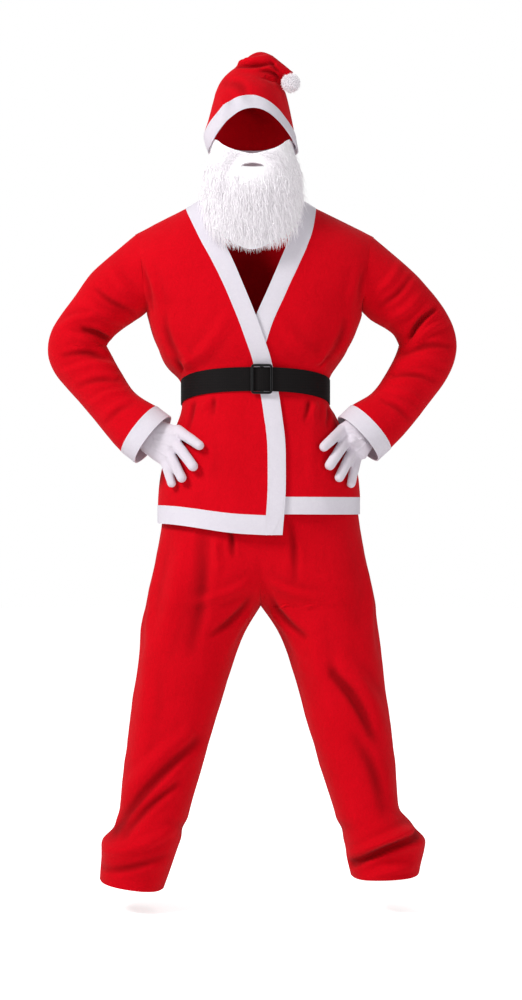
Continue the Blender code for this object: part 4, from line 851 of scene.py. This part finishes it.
@built_once("materials")
def white_fur(name):
    material, tree, shader = blank_material(name)
    place = object_space(tree)
    clumps = noise_of(tree, place, 90.0, 4.0, 0.6, 0.5)
    strands = reckoned(tree, "MULTIPLY", noise_of(tree, place, 700.0, 2.0, 0.5), 0.35)
    amount = reckoned(tree, "MULTIPLY_ADD", clumps, 0.9, strands, clamp=True)
    shading = {
        "Base Color": mixed(tree, amount, *[(*colour, 1) for colour in FUR_COLOURS]),
        "Roughness": 0.7,
        # Painted light: the fur glows faintly, which lightens the shade between its locks.
        "Emission Color": (1.0, 0.98, 1.0, 1.0),
        "Emission Strength": 0.12,
        "Sheen Weight": 0.3,
        "Specular IOR Level": 0.2,
    }
    plug(tree, shader, shading)
    return material


@built_once("materials")
def black_webbing(name):
    material, tree, shader = blank_material(name)
    values = {
        "Vector": add_node(tree, "ShaderNodeUVMap", uv_map="strap").outputs["UV"],
        "Colour": (0.003, 0.002, 0.002, 1),
        # the painted highlight on the ribs' tops
        "Lit": (0.011, 0.007, 0.009, 1),
        "Rib Scale": 90.0,
    }
    weave = add_node(tree, "ShaderNodeGroup", values, node_tree=woven_rib("Woven Rib")).outputs
    normal = bumped(tree, weave["Height"], 0.6, 0.4)
    shading = {"Base Color": weave["Colour"], "Roughness": 0.7, "Specular IOR Level": 0.15, "Normal": normal}
    plug(tree, shader, shading)
    return material


@built_once("materials")
def black_plastic(name):
    material, tree, shader = blank_material(name)
    place = object_space(tree)
    scuffs = noise_of(tree, place, 240.0, 6.0, 0.65, 0.4)
    grain = noise_of(tree, place, 2600.0, 3.0, 0.5)
    shading = {
        "Base Color": mixed(tree, scuffs, (0.006, 0.006, 0.007, 1), (0.022, 0.021, 0.023, 1)),
        "Roughness": reckoned(tree, "MULTIPLY_ADD", scuffs, 0.28, 0.2),
        "Specular IOR Level": 0.55,
        "Normal": bumped(tree, grain, 0.12, 0.1),
    }
    plug(tree, shader, shading)
    return material


@built_once("materials")
def thread(name):
    material, tree, shader = blank_material(name)
    twist = noise_of(tree, object_space(tree), 2200.0, 2.0, 0.5)
    colour = mixed(tree, twist, (0.62, 0.58, 0.62, 1), (0.84, 0.82, 0.84, 1))
    plug(tree, shader, {"Base Color": colour, "Roughness": 0.6})
    return material


# ------------------------------------------------------------------ cloth pieces
def dress(node, material, out_of, folds, soft, limits=None):
    """Replaces a node by a smooth creased copy of its own wall."""
    name = node + "_cloth"
    mesh = subdivided(name, welded(node))
    refined(mesh, out_of, folds)
    crumple(mesh, out_of, folds, soft, len(node), limits)
    return add_piece(name, mesh, material, node)


# ------------------------------------------------------------------ belt
def strap_lengths(points):
    """Distance along the waist of each point, read from its angle round the body."""
    centre, half_width, half_depth = millimetres(WAIST)
    turns = np.linspace(-math.pi, math.pi, 721)
    line = np.stack([half_width * np.cos(turns), half_depth * np.sin(turns)], axis=1)
    along = np.concatenate([[0.0], np.cumsum(np.linalg.norm(np.diff(line, axis=0), axis=1))])
    angle = np.arctan2(points[:, 1] / half_depth, (points[:, 0] - centre) / half_width)
    return np.interp(angle, turns, along)


def map_strap(mesh):
    """A UV map in metres: along the strap and across it."""
    points = read_points(mesh)
    along = strap_lengths(points)
    layer = mesh.uv_layers.new(name="strap")
    for loop in mesh.loops:
        vertex = loop.vertex_index
        layer.data[loop.index].uv = (along[vertex], points[vertex, 2])


def rounded_outline(size, corner, steps):
    """Points round a rectangle with rounded corners, with the way out at each: across, up."""
    outline = []
    for turn in range(4):
        middle = math.pi / 2.0 * (turn + 0.5)
        across = math.copysign(size[0] / 2.0 - corner, math.cos(middle))
        up = math.copysign(size[1] / 2.0 - corner, math.sin(middle))
        for step in range(steps + 1):
            angle = math.pi / 2.0 * (turn + step / steps)
            out = (math.cos(angle), math.sin(angle))
            outline.append((across + corner * out[0], up + corner * out[1], *out))
    return outline


def buckle_rim(name, centre, size):
    """A moulded frame: a rounded bar swept round a rounded rectangle, facing -Y."""
    bar = BUCKLE_BAR
    profile = [point[:2] for point in rounded_outline((bar, BUCKLE_DEEP), BUCKLE_EDGE, 3)]
    outline = rounded_outline((size[0] - bar, size[1] - bar), BUCKLE_CORNER - bar / 2.0, 6)
    shape = bmesh.new()
    rings = [
        ring_of(shape, [np.array(centre) + (x + out_x * out, depth, z + out_z * out) for out, depth in profile])
        for x, z, out_x, out_z in outline
    ]
    bridge(shape, rings, rings[1:] + rings[:1])
    bmesh.ops.recalc_face_normals(shape, faces=shape.faces)
    return smooth_mesh(name, shape)


# ------------------------------------------------------------------ geometry nodes
def run_tree(name, mesh, tree, values):
    """Runs a tree on a mesh and gives the plain mesh that it makes."""
    source = linked(name + "_source", mesh)
    growing = source.modifiers.new("grow", "NODES")
    growing.node_group = tree
    identifiers = {item.name: item.identifier for item in tree.interface.items_tree if item.in_out == "INPUT"}
    for title, value in values.items():
        growing[identifiers[title]] = value
    return baked(source, name)


def growing_tree(name, sockets):
    """A tree that puts copies of an object on a geometry."""
    inputs = {"Geometry": "Geometry", "Source": "Object", "Material": "Material", **sockets}
    return new_tree("GeometryNodeTree", name, inputs, {"Geometry": "Geometry"})


def place_copies(tree, given, made, points, rotation, scale=(1.0, 1.0, 1.0)):
    """A copy of the source object on each point, all as one mesh in the material."""
    values = {"Object": given["Source"], "As Instance": True}
    source = add_node(tree, "GeometryNodeObjectInfo", values, transform_space="ORIGINAL").outputs["Geometry"]
    values = {"Points": points, "Instance": source, "Rotation": rotation, "Scale": scale}
    copies = add_node(tree, "GeometryNodeInstanceOnPoints", values).outputs[0]
    real = add_node(tree, "GeometryNodeRealizeInstances", {0: copies}).outputs[0]
    coat = add_node(tree, "GeometryNodeSetMaterial", {"Geometry": real, "Material": given["Material"]})
    plug(tree, made, {0: coat.outputs[0]})
    return tree


@built_once("node_groups")
def pile_tree(name):
    """Stands locks of pile on a surface, along its "flow" attribute and as long as its "length" says."""
    tree, given, made = growing_tree(name, {"Spacing": "Float", "Spread": "Float", "Seed": "Int"})
    values = {
        "Mesh": given["Geometry"],
        "Distance Min": given["Spacing"],
        "Density Max": PILE_DENSITY,
        "Seed": given["Seed"],
    }
    scatter = add_node(tree, "GeometryNodeDistributePointsOnFaces", values, distribute_method="POISSON").outputs
    flow, length = (
        add_node(tree, "GeometryNodeInputNamedAttribute", {"Name": title}, data_type=kind).outputs["Attribute"]
        for title, kind in (("flow", "FLOAT_VECTOR"), ("length", "FLOAT"))
    )
    stray = add_node(tree, "FunctionNodeRandomValue", {0: (-1.0,) * 3, 1: (1.0,) * 3}, data_type="FLOAT_VECTOR")
    values = {0: stray.outputs[0], "Scale": given["Spread"]}
    spread = add_node(tree, "ShaderNodeVectorMath", values, operation="SCALE")
    way = add_node(tree, "ShaderNodeVectorMath", {0: flow, 1: spread.outputs[0]}, operation="ADD").outputs[0]
    stand = add_node(tree, "FunctionNodeAlignRotationToVector", {"Vector": way}, axis="Z").outputs[0]
    values = {"Rotation": stand, "Vector": scatter["Normal"]}
    turned = add_node(tree, "FunctionNodeAlignRotationToVector", values, axis="X", pivot_axis="Z").outputs[0]
    least, most = PILE_SIZES
    size = add_node(tree, "FunctionNodeRandomValue", {2: least, 3: most}, data_type="FLOAT").outputs[1]
    return place_copies(tree, given, made, scatter["Points"], turned, reckoned(tree, "MULTIPLY", size, length))


@built_once("node_groups")
def stitch_tree(name):
    """Lays stitches end to end along a line of edges."""
    tree, given, made = growing_tree(name, {"Pitch": "Float"})
    curve = add_node(tree, "GeometryNodeMeshToCurve", {"Mesh": given["Geometry"]}).outputs[0]
    values = {"Curve": curve, "Length": given["Pitch"]}
    even = add_node(tree, "GeometryNodeResampleCurve", values, mode="LENGTH").outputs[0]
    tangent = add_node(tree, "GeometryNodeInputTangent").outputs[0]
    stand = add_node(tree, "FunctionNodeAlignRotationToVector", {"Vector": tangent}, axis="X").outputs[0]
    return place_copies(tree, given, made, even, stand)


# ------------------------------------------------------------------ pile
def hidden_object(name, mesh):
    """A mesh to copy from: it is in no collection, so it isn't part of the scene."""
    return bpy.data.objects.new(name, mesh)


def lock_mesh(name, length, radius, wave, segments):
    """One wavy lock of pile, three-sided and tapering, that grows along +Z and curls towards -X."""
    shape = bmesh.new()
    rings = []
    for step in range(segments + 1):
        share = step / segments
        x = wave * math.sin(share * 5.5) * share - 0.25 * length * share**2
        y = wave * 0.8 * math.sin(share * 4.3 + 1.0) * share
        girth = radius * (1.0 - 0.85 * share**1.5)
        corners = [(x + girth * cos, y + girth * sin, length * share) for cos, sin in circle(3)]
        rings.append(ring_of(shape, corners))
    loft(shape, rings)
    return smooth_mesh(name, shape)


def grow_pile(name, carried, kind, full, segments, spacing, seed, material):
    """Pile on a bare surface that carries the way and the length of its locks."""
    points, faces, flow, length = carried
    radius, wave, spread = kind
    mesh = bpy.data.meshes.new(name + "_surface")
    mesh.from_pydata([tuple(point) for point in points], [], faces)
    mesh.attributes.new("flow", "FLOAT_VECTOR", "POINT").data.foreach_set("vector", flow.ravel())
    mesh.attributes.new("length", "FLOAT", "POINT").data.foreach_set("value", length)
    values = {
        "Source": hidden_object(name + "_lock", lock_mesh(name + "_lock", full, radius, wave, segments)),
        "Spacing": spacing * MM,
        "Spread": spread,
        "Seed": seed,
        "Material": material,
    }
    add_piece(name, run_tree(name, mesh, pile_tree("Pile"), values), material)


def outer_faces(mesh, out):
    """The faces of a closed wall that look outwards, as lists of corners."""
    faces = []
    for face in mesh.polygons:
        corners = list(face.vertices)
        if Vector(out[corners].mean(axis=0)).dot(face.normal) > OUTWARD:
            faces.append(corners)
    return faces


def beard_flow(points, out):
    """How the beard's pile is combed: down and a little out, and off to the sides above the mouth."""
    down = np.array((0.0, 0.0, -1.0))
    side = np.sign(points[:, 0] - BEARD_PART * MM)[:, None] * (1.0, 0.0, 0.0)
    across = np.abs(points[:, 0] - BEARD_PART * MM)
    height, over, reach, fade = MOUSTACHE
    combed = (ramp(points[:, 2], height, over) * (1.0 - ramp(across, reach, fade)))[:, None]
    cheek = ramp(across, *CHEEK)[:, None]
    flow = down * (1.0 - 0.65 * combed) + side * (0.9 * combed) + side * (0.1 * cheek)
    return unit(flow + out * (0.3 - 0.06 * cheek))


def beard_length(points):
    """Share of a full lock: short along the upper edge and round the mouth, full at the bottom."""
    middle, half_width, half_height = MOUTH
    highest, over = FULL_LENGTH
    height = points[:, 2] / MM
    across = np.abs(points[:, 0] / MM - BEARD_PART)
    top = smooth_step((highest - height) / over)
    mouth = np.hypot(across / half_width, (height - middle) / half_height)
    near = smooth_step((mouth - 0.9) / 0.9)
    bottom = np.clip((height - BEARD_BOTTOM) / 30.0, 0.36, 1.0)
    return np.minimum((0.42 + 0.58 * top) * (0.28 + 0.72 * near), bottom)


# ------------------------------------------------------------------ seams
def edge_points(node, out_of, neighbours, seam):
    """Outer points of a trim's edge: those at a neighbour for its seam, and the others for its free edge."""
    shape = welded(node)
    shape.normal_update()
    near = np.concatenate([read_points(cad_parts[name].data) for name in neighbours])
    found = []
    for vertex in shape.verts:
        if not any(is_rim(edge) for edge in vertex.link_edges):
            continue
        place = np.array(vertex.co)
        out = Vector(out_of(place[None])[0])
        facing = max((face.normal.dot(out) for face in vertex.link_faces), key=abs)
        at_seam = np.min(np.linalg.norm(near - place, axis=1)) < SEAM_REACH * MM
        if facing >= 0 and at_seam == seam:
            found.append(place)
    shape.free()
    if len(found) < 3:
        raise RuntimeError(f"{node} has no edge to stitch")
    return np.array(found)


def stitch_line(name, points, other, key, surface, closed):
    """A line of edges through an edge's points, moved towards the other edge and laid on a surface."""
    line = points[np.argsort(key(points))]
    faces = [list(face.vertices) for face in surface.polygons]
    tree = BVHTree.FromPolygons([Vector(point) for point in read_points(surface)], faces)
    steps = []
    for start, end in zip(line, np.roll(line, -1, axis=0) if closed else line[1:]):
        count = max(1, int(np.linalg.norm(end - start) / (STITCH_STEP * MM)))
        steps += [start + (end - start) * share / count for share in range(count)]
    if not closed:
        steps.append(line[-1])
    laid = []
    for place in steps:
        inwards = other[np.argmin(np.linalg.norm(other - place, axis=1))] - place
        inset = inwards / np.linalg.norm(inwards) * STITCH_INSET * MM
        found, normal, _, _ = tree.find_nearest(Vector(place + inset))
        laid.append(tuple(found + normal * STITCH_LIFT * MM))
    edges = [(index, index + 1) for index in range(len(laid) - 1)]
    if closed:
        edges.append((len(laid) - 1, 0))
    mesh = bpy.data.meshes.new(name)
    mesh.from_pydata(laid, edges, [])
    return mesh


def stitch_mesh(length, radius):
    """One stitch: a short thread that dips into the cloth at both ends."""
    shape = bmesh.new()
    rings = []
    for share in (-1.0, -0.6, 0.0, 0.6, 1.0):
        girth = radius * (1.0 - 0.4 * share**4)
        corners = [(share * length / 2.0, girth * cos, girth * sin) for cos, sin in circle(5)]
        rings.append(ring_of(shape, corners))
    loft(shape, rings)
    bmesh.ops.recalc_face_normals(shape, faces=shape.faces)
    return smooth_mesh("stitch", shape)


def round_line(node):
    """A key that orders points by their turn about the node's own axis."""
    points = read_points(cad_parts[node].data)
    centre = points.mean(axis=0)
    axes = np.linalg.svd(points - centre, full_matrices=False)[2]
    return lambda p: np.arctan2((p - centre) @ axes[1], (p - centre) @ axes[0])


# ------------------------------------------------------------------ gloves
def hand_loft(shape, rows):
    """The hand as a closed loft of flattened rings, run on a little at both ends."""
    rows = np.array(rows, float)
    first, last = rows[0].copy(), rows[-1].copy()
    first[:3] += GLOVE_RUN[0] * (rows[0, :3] - rows[1, :3])
    last[:3] += GLOVE_RUN[1] * (rows[-1, :3] - rows[-2, :3])
    last[3:5] *= KNUCKLE_TAPER
    rows = np.vstack((first, rows, last))
    rings = []
    for index, row in enumerate(rows):
        ahead = unit(rows[min(index + 1, len(rows) - 1), :3] - rows[max(index - 1, 0), :3])
        wide = unit(row[5:] - ahead * (ahead @ row[5:]))
        thin = np.cross(ahead, wide) * row[4]
        corners = [row[:3] + wide * row[3] * cos + thin * sin for cos, sin in circle(GLOVE_RING)]
        rings.append(ring_of(shape, corners))
    loft(shape, rings)


def string_of_balls(shape, line):
    """A rounded, tapering digit: balls close together along its bones, which the remesh joins."""
    for start, end in zip(np.array(line), np.array(line[1:])):
        steps = max(2, round(np.linalg.norm(end[:3] - start[:3]) / GLOVE_BALL_STEP))
        for step in range(steps + 1):
            ball = (start + (end - start) * step / steps + (0, 0, 0, GLOVE_SHRINK)) * MM
            place = Matrix.Translation(ball[:3])
            bmesh.ops.create_icosphere(shape, subdivisions=3, radius=ball[3], matrix=place)


def raise_darts(mesh, darts):
    """Raises the darts on the back of the hand, and rumples the knit a little."""
    points = read_points(mesh)
    normals = np.array([vertex.normal for vertex in mesh.vertices])
    flat = points[:, (0, 2)] / MM
    height = np.zeros(len(points))
    rise, half_width = DART_RIDGE
    depth, place, spread = DART_DIP
    for x0, z0, x1, z1 in darts:
        start, line = np.array((x0, z0), float), np.array((x1 - x0, z1 - z0), float)
        share = (flat - start) @ line / (line @ line)
        away = np.linalg.norm(flat - start - np.clip(share, 0, 1)[:, None] * line, axis=1)
        height += rise * np.exp(-((away / half_width) ** 2)) - depth * np.exp(-(((away - place) / spread) ** 2))
    height *= smooth_step((-normals[:, 1] - DART_FACE[0]) / DART_FACE[1])
    height += GLOVE_RUMPLE[0] * unevenness(points, GLOVE_RUMPLE[1], 5)
    write_points(mesh, points + normals * (height * MM)[:, None])


def knitted_glove(name, side):
    """The glove's outer skin in an even mesh, cut open at the wrist and given its wall."""
    shape = bmesh.new()
    hand_loft(shape, GLOVE_HANDS[side])
    for line in GLOVE_DIGITS[side]:
        string_of_balls(shape, line)
    bmesh.ops.recalc_face_normals(shape, faces=shape.faces)
    mesh = put_in(bpy.data.meshes.new(name), shape)
    even = ("REMESH", {"mode": "VOXEL", "voxel_size": GLOVE_VOXEL * MM})
    mesh = modified(name, mesh, even, ("SMOOTH", {"factor": 0.5, "iterations": GLOVE_SMOOTHING}))
    raise_darts(mesh, GLOVE_DARTS[side])
    wrist, second = (Vector(row[:3]) * MM for row in GLOVE_HANDS[side][:2])
    shape = shape_of(mesh)
    everything = [*shape.verts, *shape.edges, *shape.faces]
    bmesh.ops.bisect_plane(shape, geom=everything, plane_co=wrist, plane_no=wrist - second, clear_outer=True)
    wall = ("SOLIDIFY", {"thickness": GLOVE_WALL * MM, "offset": -1.0})
    return rim_shaded(modified(name, put_in(mesh, shape), wall))


# ------------------------------------------------------------------ settings
def tint(name, description, default):
    return FloatVectorProperty(name=name, description=description, subtype="COLOR", default=default)


def amount(name, description, default, **limits):
    return FloatProperty(name=name, description=description, default=default, **limits)


class SuitCloth(bpy.types.PropertyGroup):
    """Colours of the cloth and how deeply it is creased"""

    red: tint("Red felt", "Colour of the felt's face", (0.76, 0.001, 0.011))
    # Each shade colour, at half its value, is also the painted shade in the folds' troughs.
    red_shade: tint("Red shade", "Colour between the felt's fibres", (0.58, 0.0, 0.006))
    white: tint("White felt", "Colour of the trim's face", (0.80, 0.77, 0.82))
    white_shade: tint("White shade", "Colour between the trim's fibres", (0.70, 0.66, 0.73))
    glove: tint("Glove knit", "Colour of the gloves", (0.80, 0.75, 0.81))
    glove_shade: tint("Glove shade", "Colour between the stitches", (0.71, 0.65, 0.72))
    crease: amount("Creases", "Depth of the modelled folds", 1.35, min=0.0, max=2.0)


class SuitFur(bpy.types.PropertyGroup):
    """Pile of the beard and the pompom"""

    lock: amount("Lock length", "A full lock of the beard, in millimetres", 30.0, min=10.0, max=60.0)
    spacing: amount("Lock spacing", "Between neighbouring locks, in millimetres", 3.0, min=2.0, max=8.0)
    pompom_spacing: amount("Pompom spacing", "Between its strands, in millimetres", 1.0, min=0.8, max=4.0)
    seed: IntProperty(name="Seed", description="Scatter of the locks", default=7, min=0)


class SuitStage(bpy.types.PropertyGroup):
    """Floor, light and camera"""

    floor_drop: amount("Floor drop", "From the trouser hems down to the floor", 0.045, unit="LENGTH")
    distance: amount("Camera distance", "From the suit's middle plane", 5.0, unit="LENGTH")
    lens: amount("Lens", "Focal length in millimetres", 84.9, min=20.0)
    key: amount("Key light", "Power of the main lamp, in watts", 175.0, min=0.0)
    fill: amount("Fill light", "Power of the other lamps, in watts", 52.0, min=0.0)
    sky: amount("Surround", "Strength of the surround's light", 0.42, min=0.0)


# ------------------------------------------------------------------ operators
class SUIT_OT_jacket(bpy.types.Operator):
    """Jacket: back, fronts, sleeves, and the white felt along its edges"""

    bl_idname = "suit.jacket"
    bl_label = "Jacket"

    def execute(self, context):
        red, white = felt("red felt"), felt("white felt")
        for node in BODY_NODES:
            dress(node, red, out_of_torso, JACKET_FOLDS, SOFTNESS["jacket"], jacket_limits)
        for node in SLEEVE_NODES:
            dress(node, red, out_of_arm, SLEEVE_FOLDS, SOFTNESS["sleeves"], sleeve_limits)
        for node in TRIM_NODES:
            dress(node, white, out_of_torso, JACKET_FOLDS, SOFTNESS["jacket"], jacket_limits)
        for node in CUFF_NODES:
            dress(node, white, out_of_arm, SLEEVE_FOLDS, SOFTNESS["sleeves"])
        return {"FINISHED"}


class SUIT_OT_trousers(bpy.types.Operator):
    """Trousers: a front and a back for each leg, and the gathered waistband"""

    bl_idname = "suit.trousers"
    bl_label = "Trousers"

    def execute(self, context):
        for node in TROUSER_NODES:
            soft = SOFTNESS["trousers"]
            dress(node, felt("red felt"), out_of_legs, TROUSER_FOLDS, soft, trouser_limits)
        return {"FINISHED"}


class SUIT_OT_hat(bpy.types.Operator):
    """Hat: the felt crown with its folded tip, and the white band"""

    bl_idname = "suit.hat"
    bl_label = "Hat"

    def execute(self, context):
        dress("hat_crown", felt("red felt"), out_of_hat, HAT_FOLDS, SOFTNESS["hat"])
        dress("hat_trim", felt("white felt"), out_of_hat, HAT_FOLDS, SOFTNESS["hat trim"])
        return {"FINISHED"}


class SUIT_OT_pompom(bpy.types.Operator):
    """Pompom: a felted core with strands all round"""

    bl_idname = "suit.pompom"
    bl_label = "Pompom"

    def execute(self, context):
        fur = context.scene.suit_fur
        wool = white_fur("pompom wool")
        low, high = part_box("hat_pompom")
        reach = min(high - low) / 2.0
        core = reach * POMPOM_CORE
        shape = bmesh.new()
        bmesh.ops.create_icosphere(shape, subdivisions=4, radius=core)
        mesh = put_in(bpy.data.meshes.new("pompom_core"), shape)
        points = read_points(mesh)
        out = unit(points)
        rise, size = POMPOM_LUMPS
        points = points * (1.0 + rise * unevenness(points, size, 3))[:, None] + np.array((low + high) / 2.0)
        write_points(mesh, points)
        mesh.shade_smooth()
        add_piece("pompom_core", mesh, wool, "hat_pompom")
        faces = [list(face.vertices) for face in mesh.polygons]
        carried = (points, faces, out, np.ones(len(points)))
        full = (reach - core) / MM * STRAND_LENGTH
        grow_pile("pompom_wool", carried, STRAND, full, 3, fur.pompom_spacing, fur.seed, wool)
        return {"FINISHED"}


class SUIT_OT_beard(bpy.types.Operator):
    """Beard: a backing with long wavy pile, and its elastic"""

    bl_idname = "suit.beard"
    bl_label = "Beard"

    def execute(self, context):
        fur = context.scene.suit_fur
        pile = white_fur("beard fur")
        mesh = subdivided("beard_backing", welded("beard"))
        points = read_points(mesh)
        out = points - millimetres((*BEARD_AXIS, 0.0))
        out[:, 2] = 0.0
        out = unit(out)
        rise, size, drawn_in = BEARD_LUMPS
        lumps = rise * unevenness(points * (1.0, 1.0, 0.45), size, 9) - drawn_in
        write_points(mesh, points + out * (lumps * MM)[:, None])
        points = read_points(mesh)
        add_piece("beard_backing", mesh, pile, "beard")
        carried = (points, outer_faces(mesh, out), beard_flow(points, out), beard_length(points))
        grow_pile("beard_pile", carried, LOCK, fur.lock, 6, fur.spacing, fur.seed, pile)
        longer, wider = fur.lock * WISP_SHARES[0], fur.spacing * WISP_SHARES[1]
        grow_pile("beard_wisps", carried, WISP, longer, 6, wider, fur.seed + 1, pile)
        dress("beard_strap", felt("white felt"), out_of_hat, {}, 0.0)
        return {"FINISHED"}


class SUIT_OT_gloves(bpy.types.Operator):
    """Gloves: thin knit over the hand's hollow, with three raised darts on the back"""

    bl_idname = "suit.gloves"
    bl_label = "Gloves"

    def execute(self, context):
        for side in SIDES:
            name = "glove_" + side + "_knit"
            add_piece(name, knitted_glove(name, side), felt("white knit"), "glove_" + side)
        return {"FINISHED"}


class SUIT_OT_belt(bpy.types.Operator):
    """Belt: ribbed webbing through a moulded slide buckle"""

    bl_idname = "suit.belt"
    bl_label = "Belt and buckle"

    def execute(self, context):
        belt = dress("belt", black_webbing("black webbing"), out_of_torso, {}, 0.0)
        map_strap(belt.data)
        low, high = (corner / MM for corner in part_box("buckle"))
        centre = ((low[0] + high[0]) / 2.0, low[1] + BUCKLE_DEPTH, (low[2] + high[2]) / 2.0)
        mesh = buckle_rim("buckle_frame", centre, (high[0] - low[0], high[2] - low[2]))
        plastic = black_plastic("black plastic")
        add_piece("buckle_frame", mesh, plastic)
        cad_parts["buckle"].data.materials.clear()
        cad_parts["buckle"].data.materials.append(plastic)
        return {"FINISHED"}


class SUIT_OT_stage(bpy.types.Operator):
    """Pale floor, soft light and the camera"""

    bl_idname = "suit.stage"
    bl_label = "Stage"

    def execute(self, context):
        scene, stage = context.scene, context.scene.suit_stage
        self.add_floor(CAD_BOX[0][2] - stage.floor_drop)
        for name, place, size, setting, share in LAMPS:
            light = bpy.data.lights.new(name, "AREA")
            light.shape, light.size, light.energy = "DISK", size, share * getattr(stage, setting)
            lamp = linked(name, light)
            lamp.location = place
            lamp.rotation_euler = (Vector(LAMP_TARGET) - Vector(place)).to_track_quat("-Z", "Y").to_euler()
        scene.world = self.pale_world(stage.sky)
        scene.view_settings.view_transform = "Standard"
        eye = bpy.data.cameras.new("camera")
        eye.sensor_width, eye.lens, eye.clip_end = 36.0, stage.lens, 100.0
        camera = linked("camera", eye)
        camera.location = (CAMERA_PLACE[0], -stage.distance, CAMERA_PLACE[1])
        camera.rotation_euler = (math.pi / 2.0, 0.0, 0.0)
        scene.camera = camera
        return {"FINISHED"}

    def pale_world(self, strength):
        """White where the camera sees it, and dimmer as light, so that folds keep their shading."""
        world = bpy.data.worlds.new("pale surround")
        world.use_nodes = True
        tree = world.node_tree
        seen = add_node(tree, "ShaderNodeLightPath").outputs["Is Camera Ray"]
        light = {"Color": (1.0, 1.0, 1.0, 1.0), "Strength": reckoned(tree, "MAXIMUM", seen, strength)}
        plug(tree, tree.nodes["Background"], light)
        return world

    def add_floor(self, height):
        shape = bmesh.new()
        bmesh.ops.create_circle(shape, cap_ends=True, segments=96, radius=14.0)
        bmesh.ops.translate(shape, vec=(0.0, 0.0, height), verts=shape.verts)
        mesh = put_in(bpy.data.meshes.new("floor"), shape)
        material, tree, shader = blank_material("pale floor")
        cloud = noise_of(tree, object_space(tree), 1.5, 2.0, 0.5)
        seen = add_node(tree, "ShaderNodeLightPath").outputs["Is Camera Ray"]
        shading = {
            "Base Color": mixed(tree, cloud, (0.93, 0.93, 0.93, 1), (0.95, 0.95, 0.95, 1)),
            "Roughness": 0.9,
            "Specular IOR Level": 0.0,
            "Emission Color": (1.0, 1.0, 1.0, 1.0),
            "Emission Strength": reckoned(tree, "MULTIPLY", seen, FLOOR_GLOW),
        }
        plug(tree, shader, shading)
        mesh.materials.append(material)
        linked("floor", mesh)


class SUIT_OT_stitches(bpy.types.Operator):
    """Stitches along both edges of the front trims, the cuffs and the hat's white band"""

    bl_idname = "suit.stitches"
    bl_label = "Stitches"

    def execute(self, context):
        needle = hidden_object("stitch", stitch_mesh(*STITCH_SIZE))
        cotton = thread("white thread")
        runs = []
        for side in SIDES:
            front = ("jacket_front_" + side, "hem_trim_" + side)
            runs.append(("front_trim_" + side, out_of_torso, front, lambda p: p[:, 2], False))
            runs.append(("cuff_" + side, out_of_arm, ("sleeve_" + side,), round_line("cuff_" + side), True))
        runs.append(("hat_trim", out_of_hat, ("hat_crown",), round_line("hat_trim"), True))
        for node, out_of, neighbours, key, closed in runs:
            surface = bpy.data.objects[node + "_cloth"].data
            sewn, free = (edge_points(node, out_of, neighbours, seam) for seam in (True, False))
            for kind, points, other in (("seam", sewn, free), ("edge", free, sewn)):
                name = f"{node}_{kind}_stitches"
                line = stitch_line(name + "_line", points, other, key, surface, closed)
                values = {"Source": needle, "Pitch": STITCH_PITCH * MM, "Material": cotton}
                mesh = run_tree(name, line, stitch_tree("Stitches"), values)
                add_piece(name, mesh, cotton)
        return {"FINISHED"}


PIECES = (
    SUIT_OT_stage,
    SUIT_OT_jacket,
    SUIT_OT_trousers,
    SUIT_OT_hat,
    SUIT_OT_pompom,
    SUIT_OT_beard,
    SUIT_OT_gloves,
    SUIT_OT_belt,
    SUIT_OT_stitches,
)


class SUIT_PT_panel(bpy.types.Panel):
    """Lists the suit's settings and pieces"""

    bl_label = "Santa Suit"
    bl_idname = "SUIT_PT_panel"
    bl_space_type = "VIEW_3D"
    bl_region_type = "UI"
    bl_category = "Santa Suit"

    def draw(self, context):
        for group in (context.scene.suit_cloth, context.scene.suit_fur, context.scene.suit_stage):
            box = self.layout.box()
            for name in group.__annotations__:
                box.prop(group, name)
        for operator in PIECES:
            self.layout.operator(operator.bl_idname)


CLASSES = (SuitCloth, SuitFur, SuitStage, *PIECES, SUIT_PT_panel)


def register():
    for cls in CLASSES:
        bpy.utils.register_class(cls)
    bpy.types.Scene.suit_cloth = PointerProperty(type=SuitCloth)
    bpy.types.Scene.suit_fur = PointerProperty(type=SuitFur)
    bpy.types.Scene.suit_stage = PointerProperty(type=SuitStage)


def unregister():
    del bpy.types.Scene.suit_stage
    del bpy.types.Scene.suit_fur
    del bpy.types.Scene.suit_cloth
    for cls in reversed(CLASSES):
        bpy.utils.unregister_class(cls)


def main():
    register()
    for operator in PIECES:
        module, name = operator.bl_idname.split(".")
        getattr(getattr(bpy.ops, module), name)()


if __name__ == "__main__":
    main()
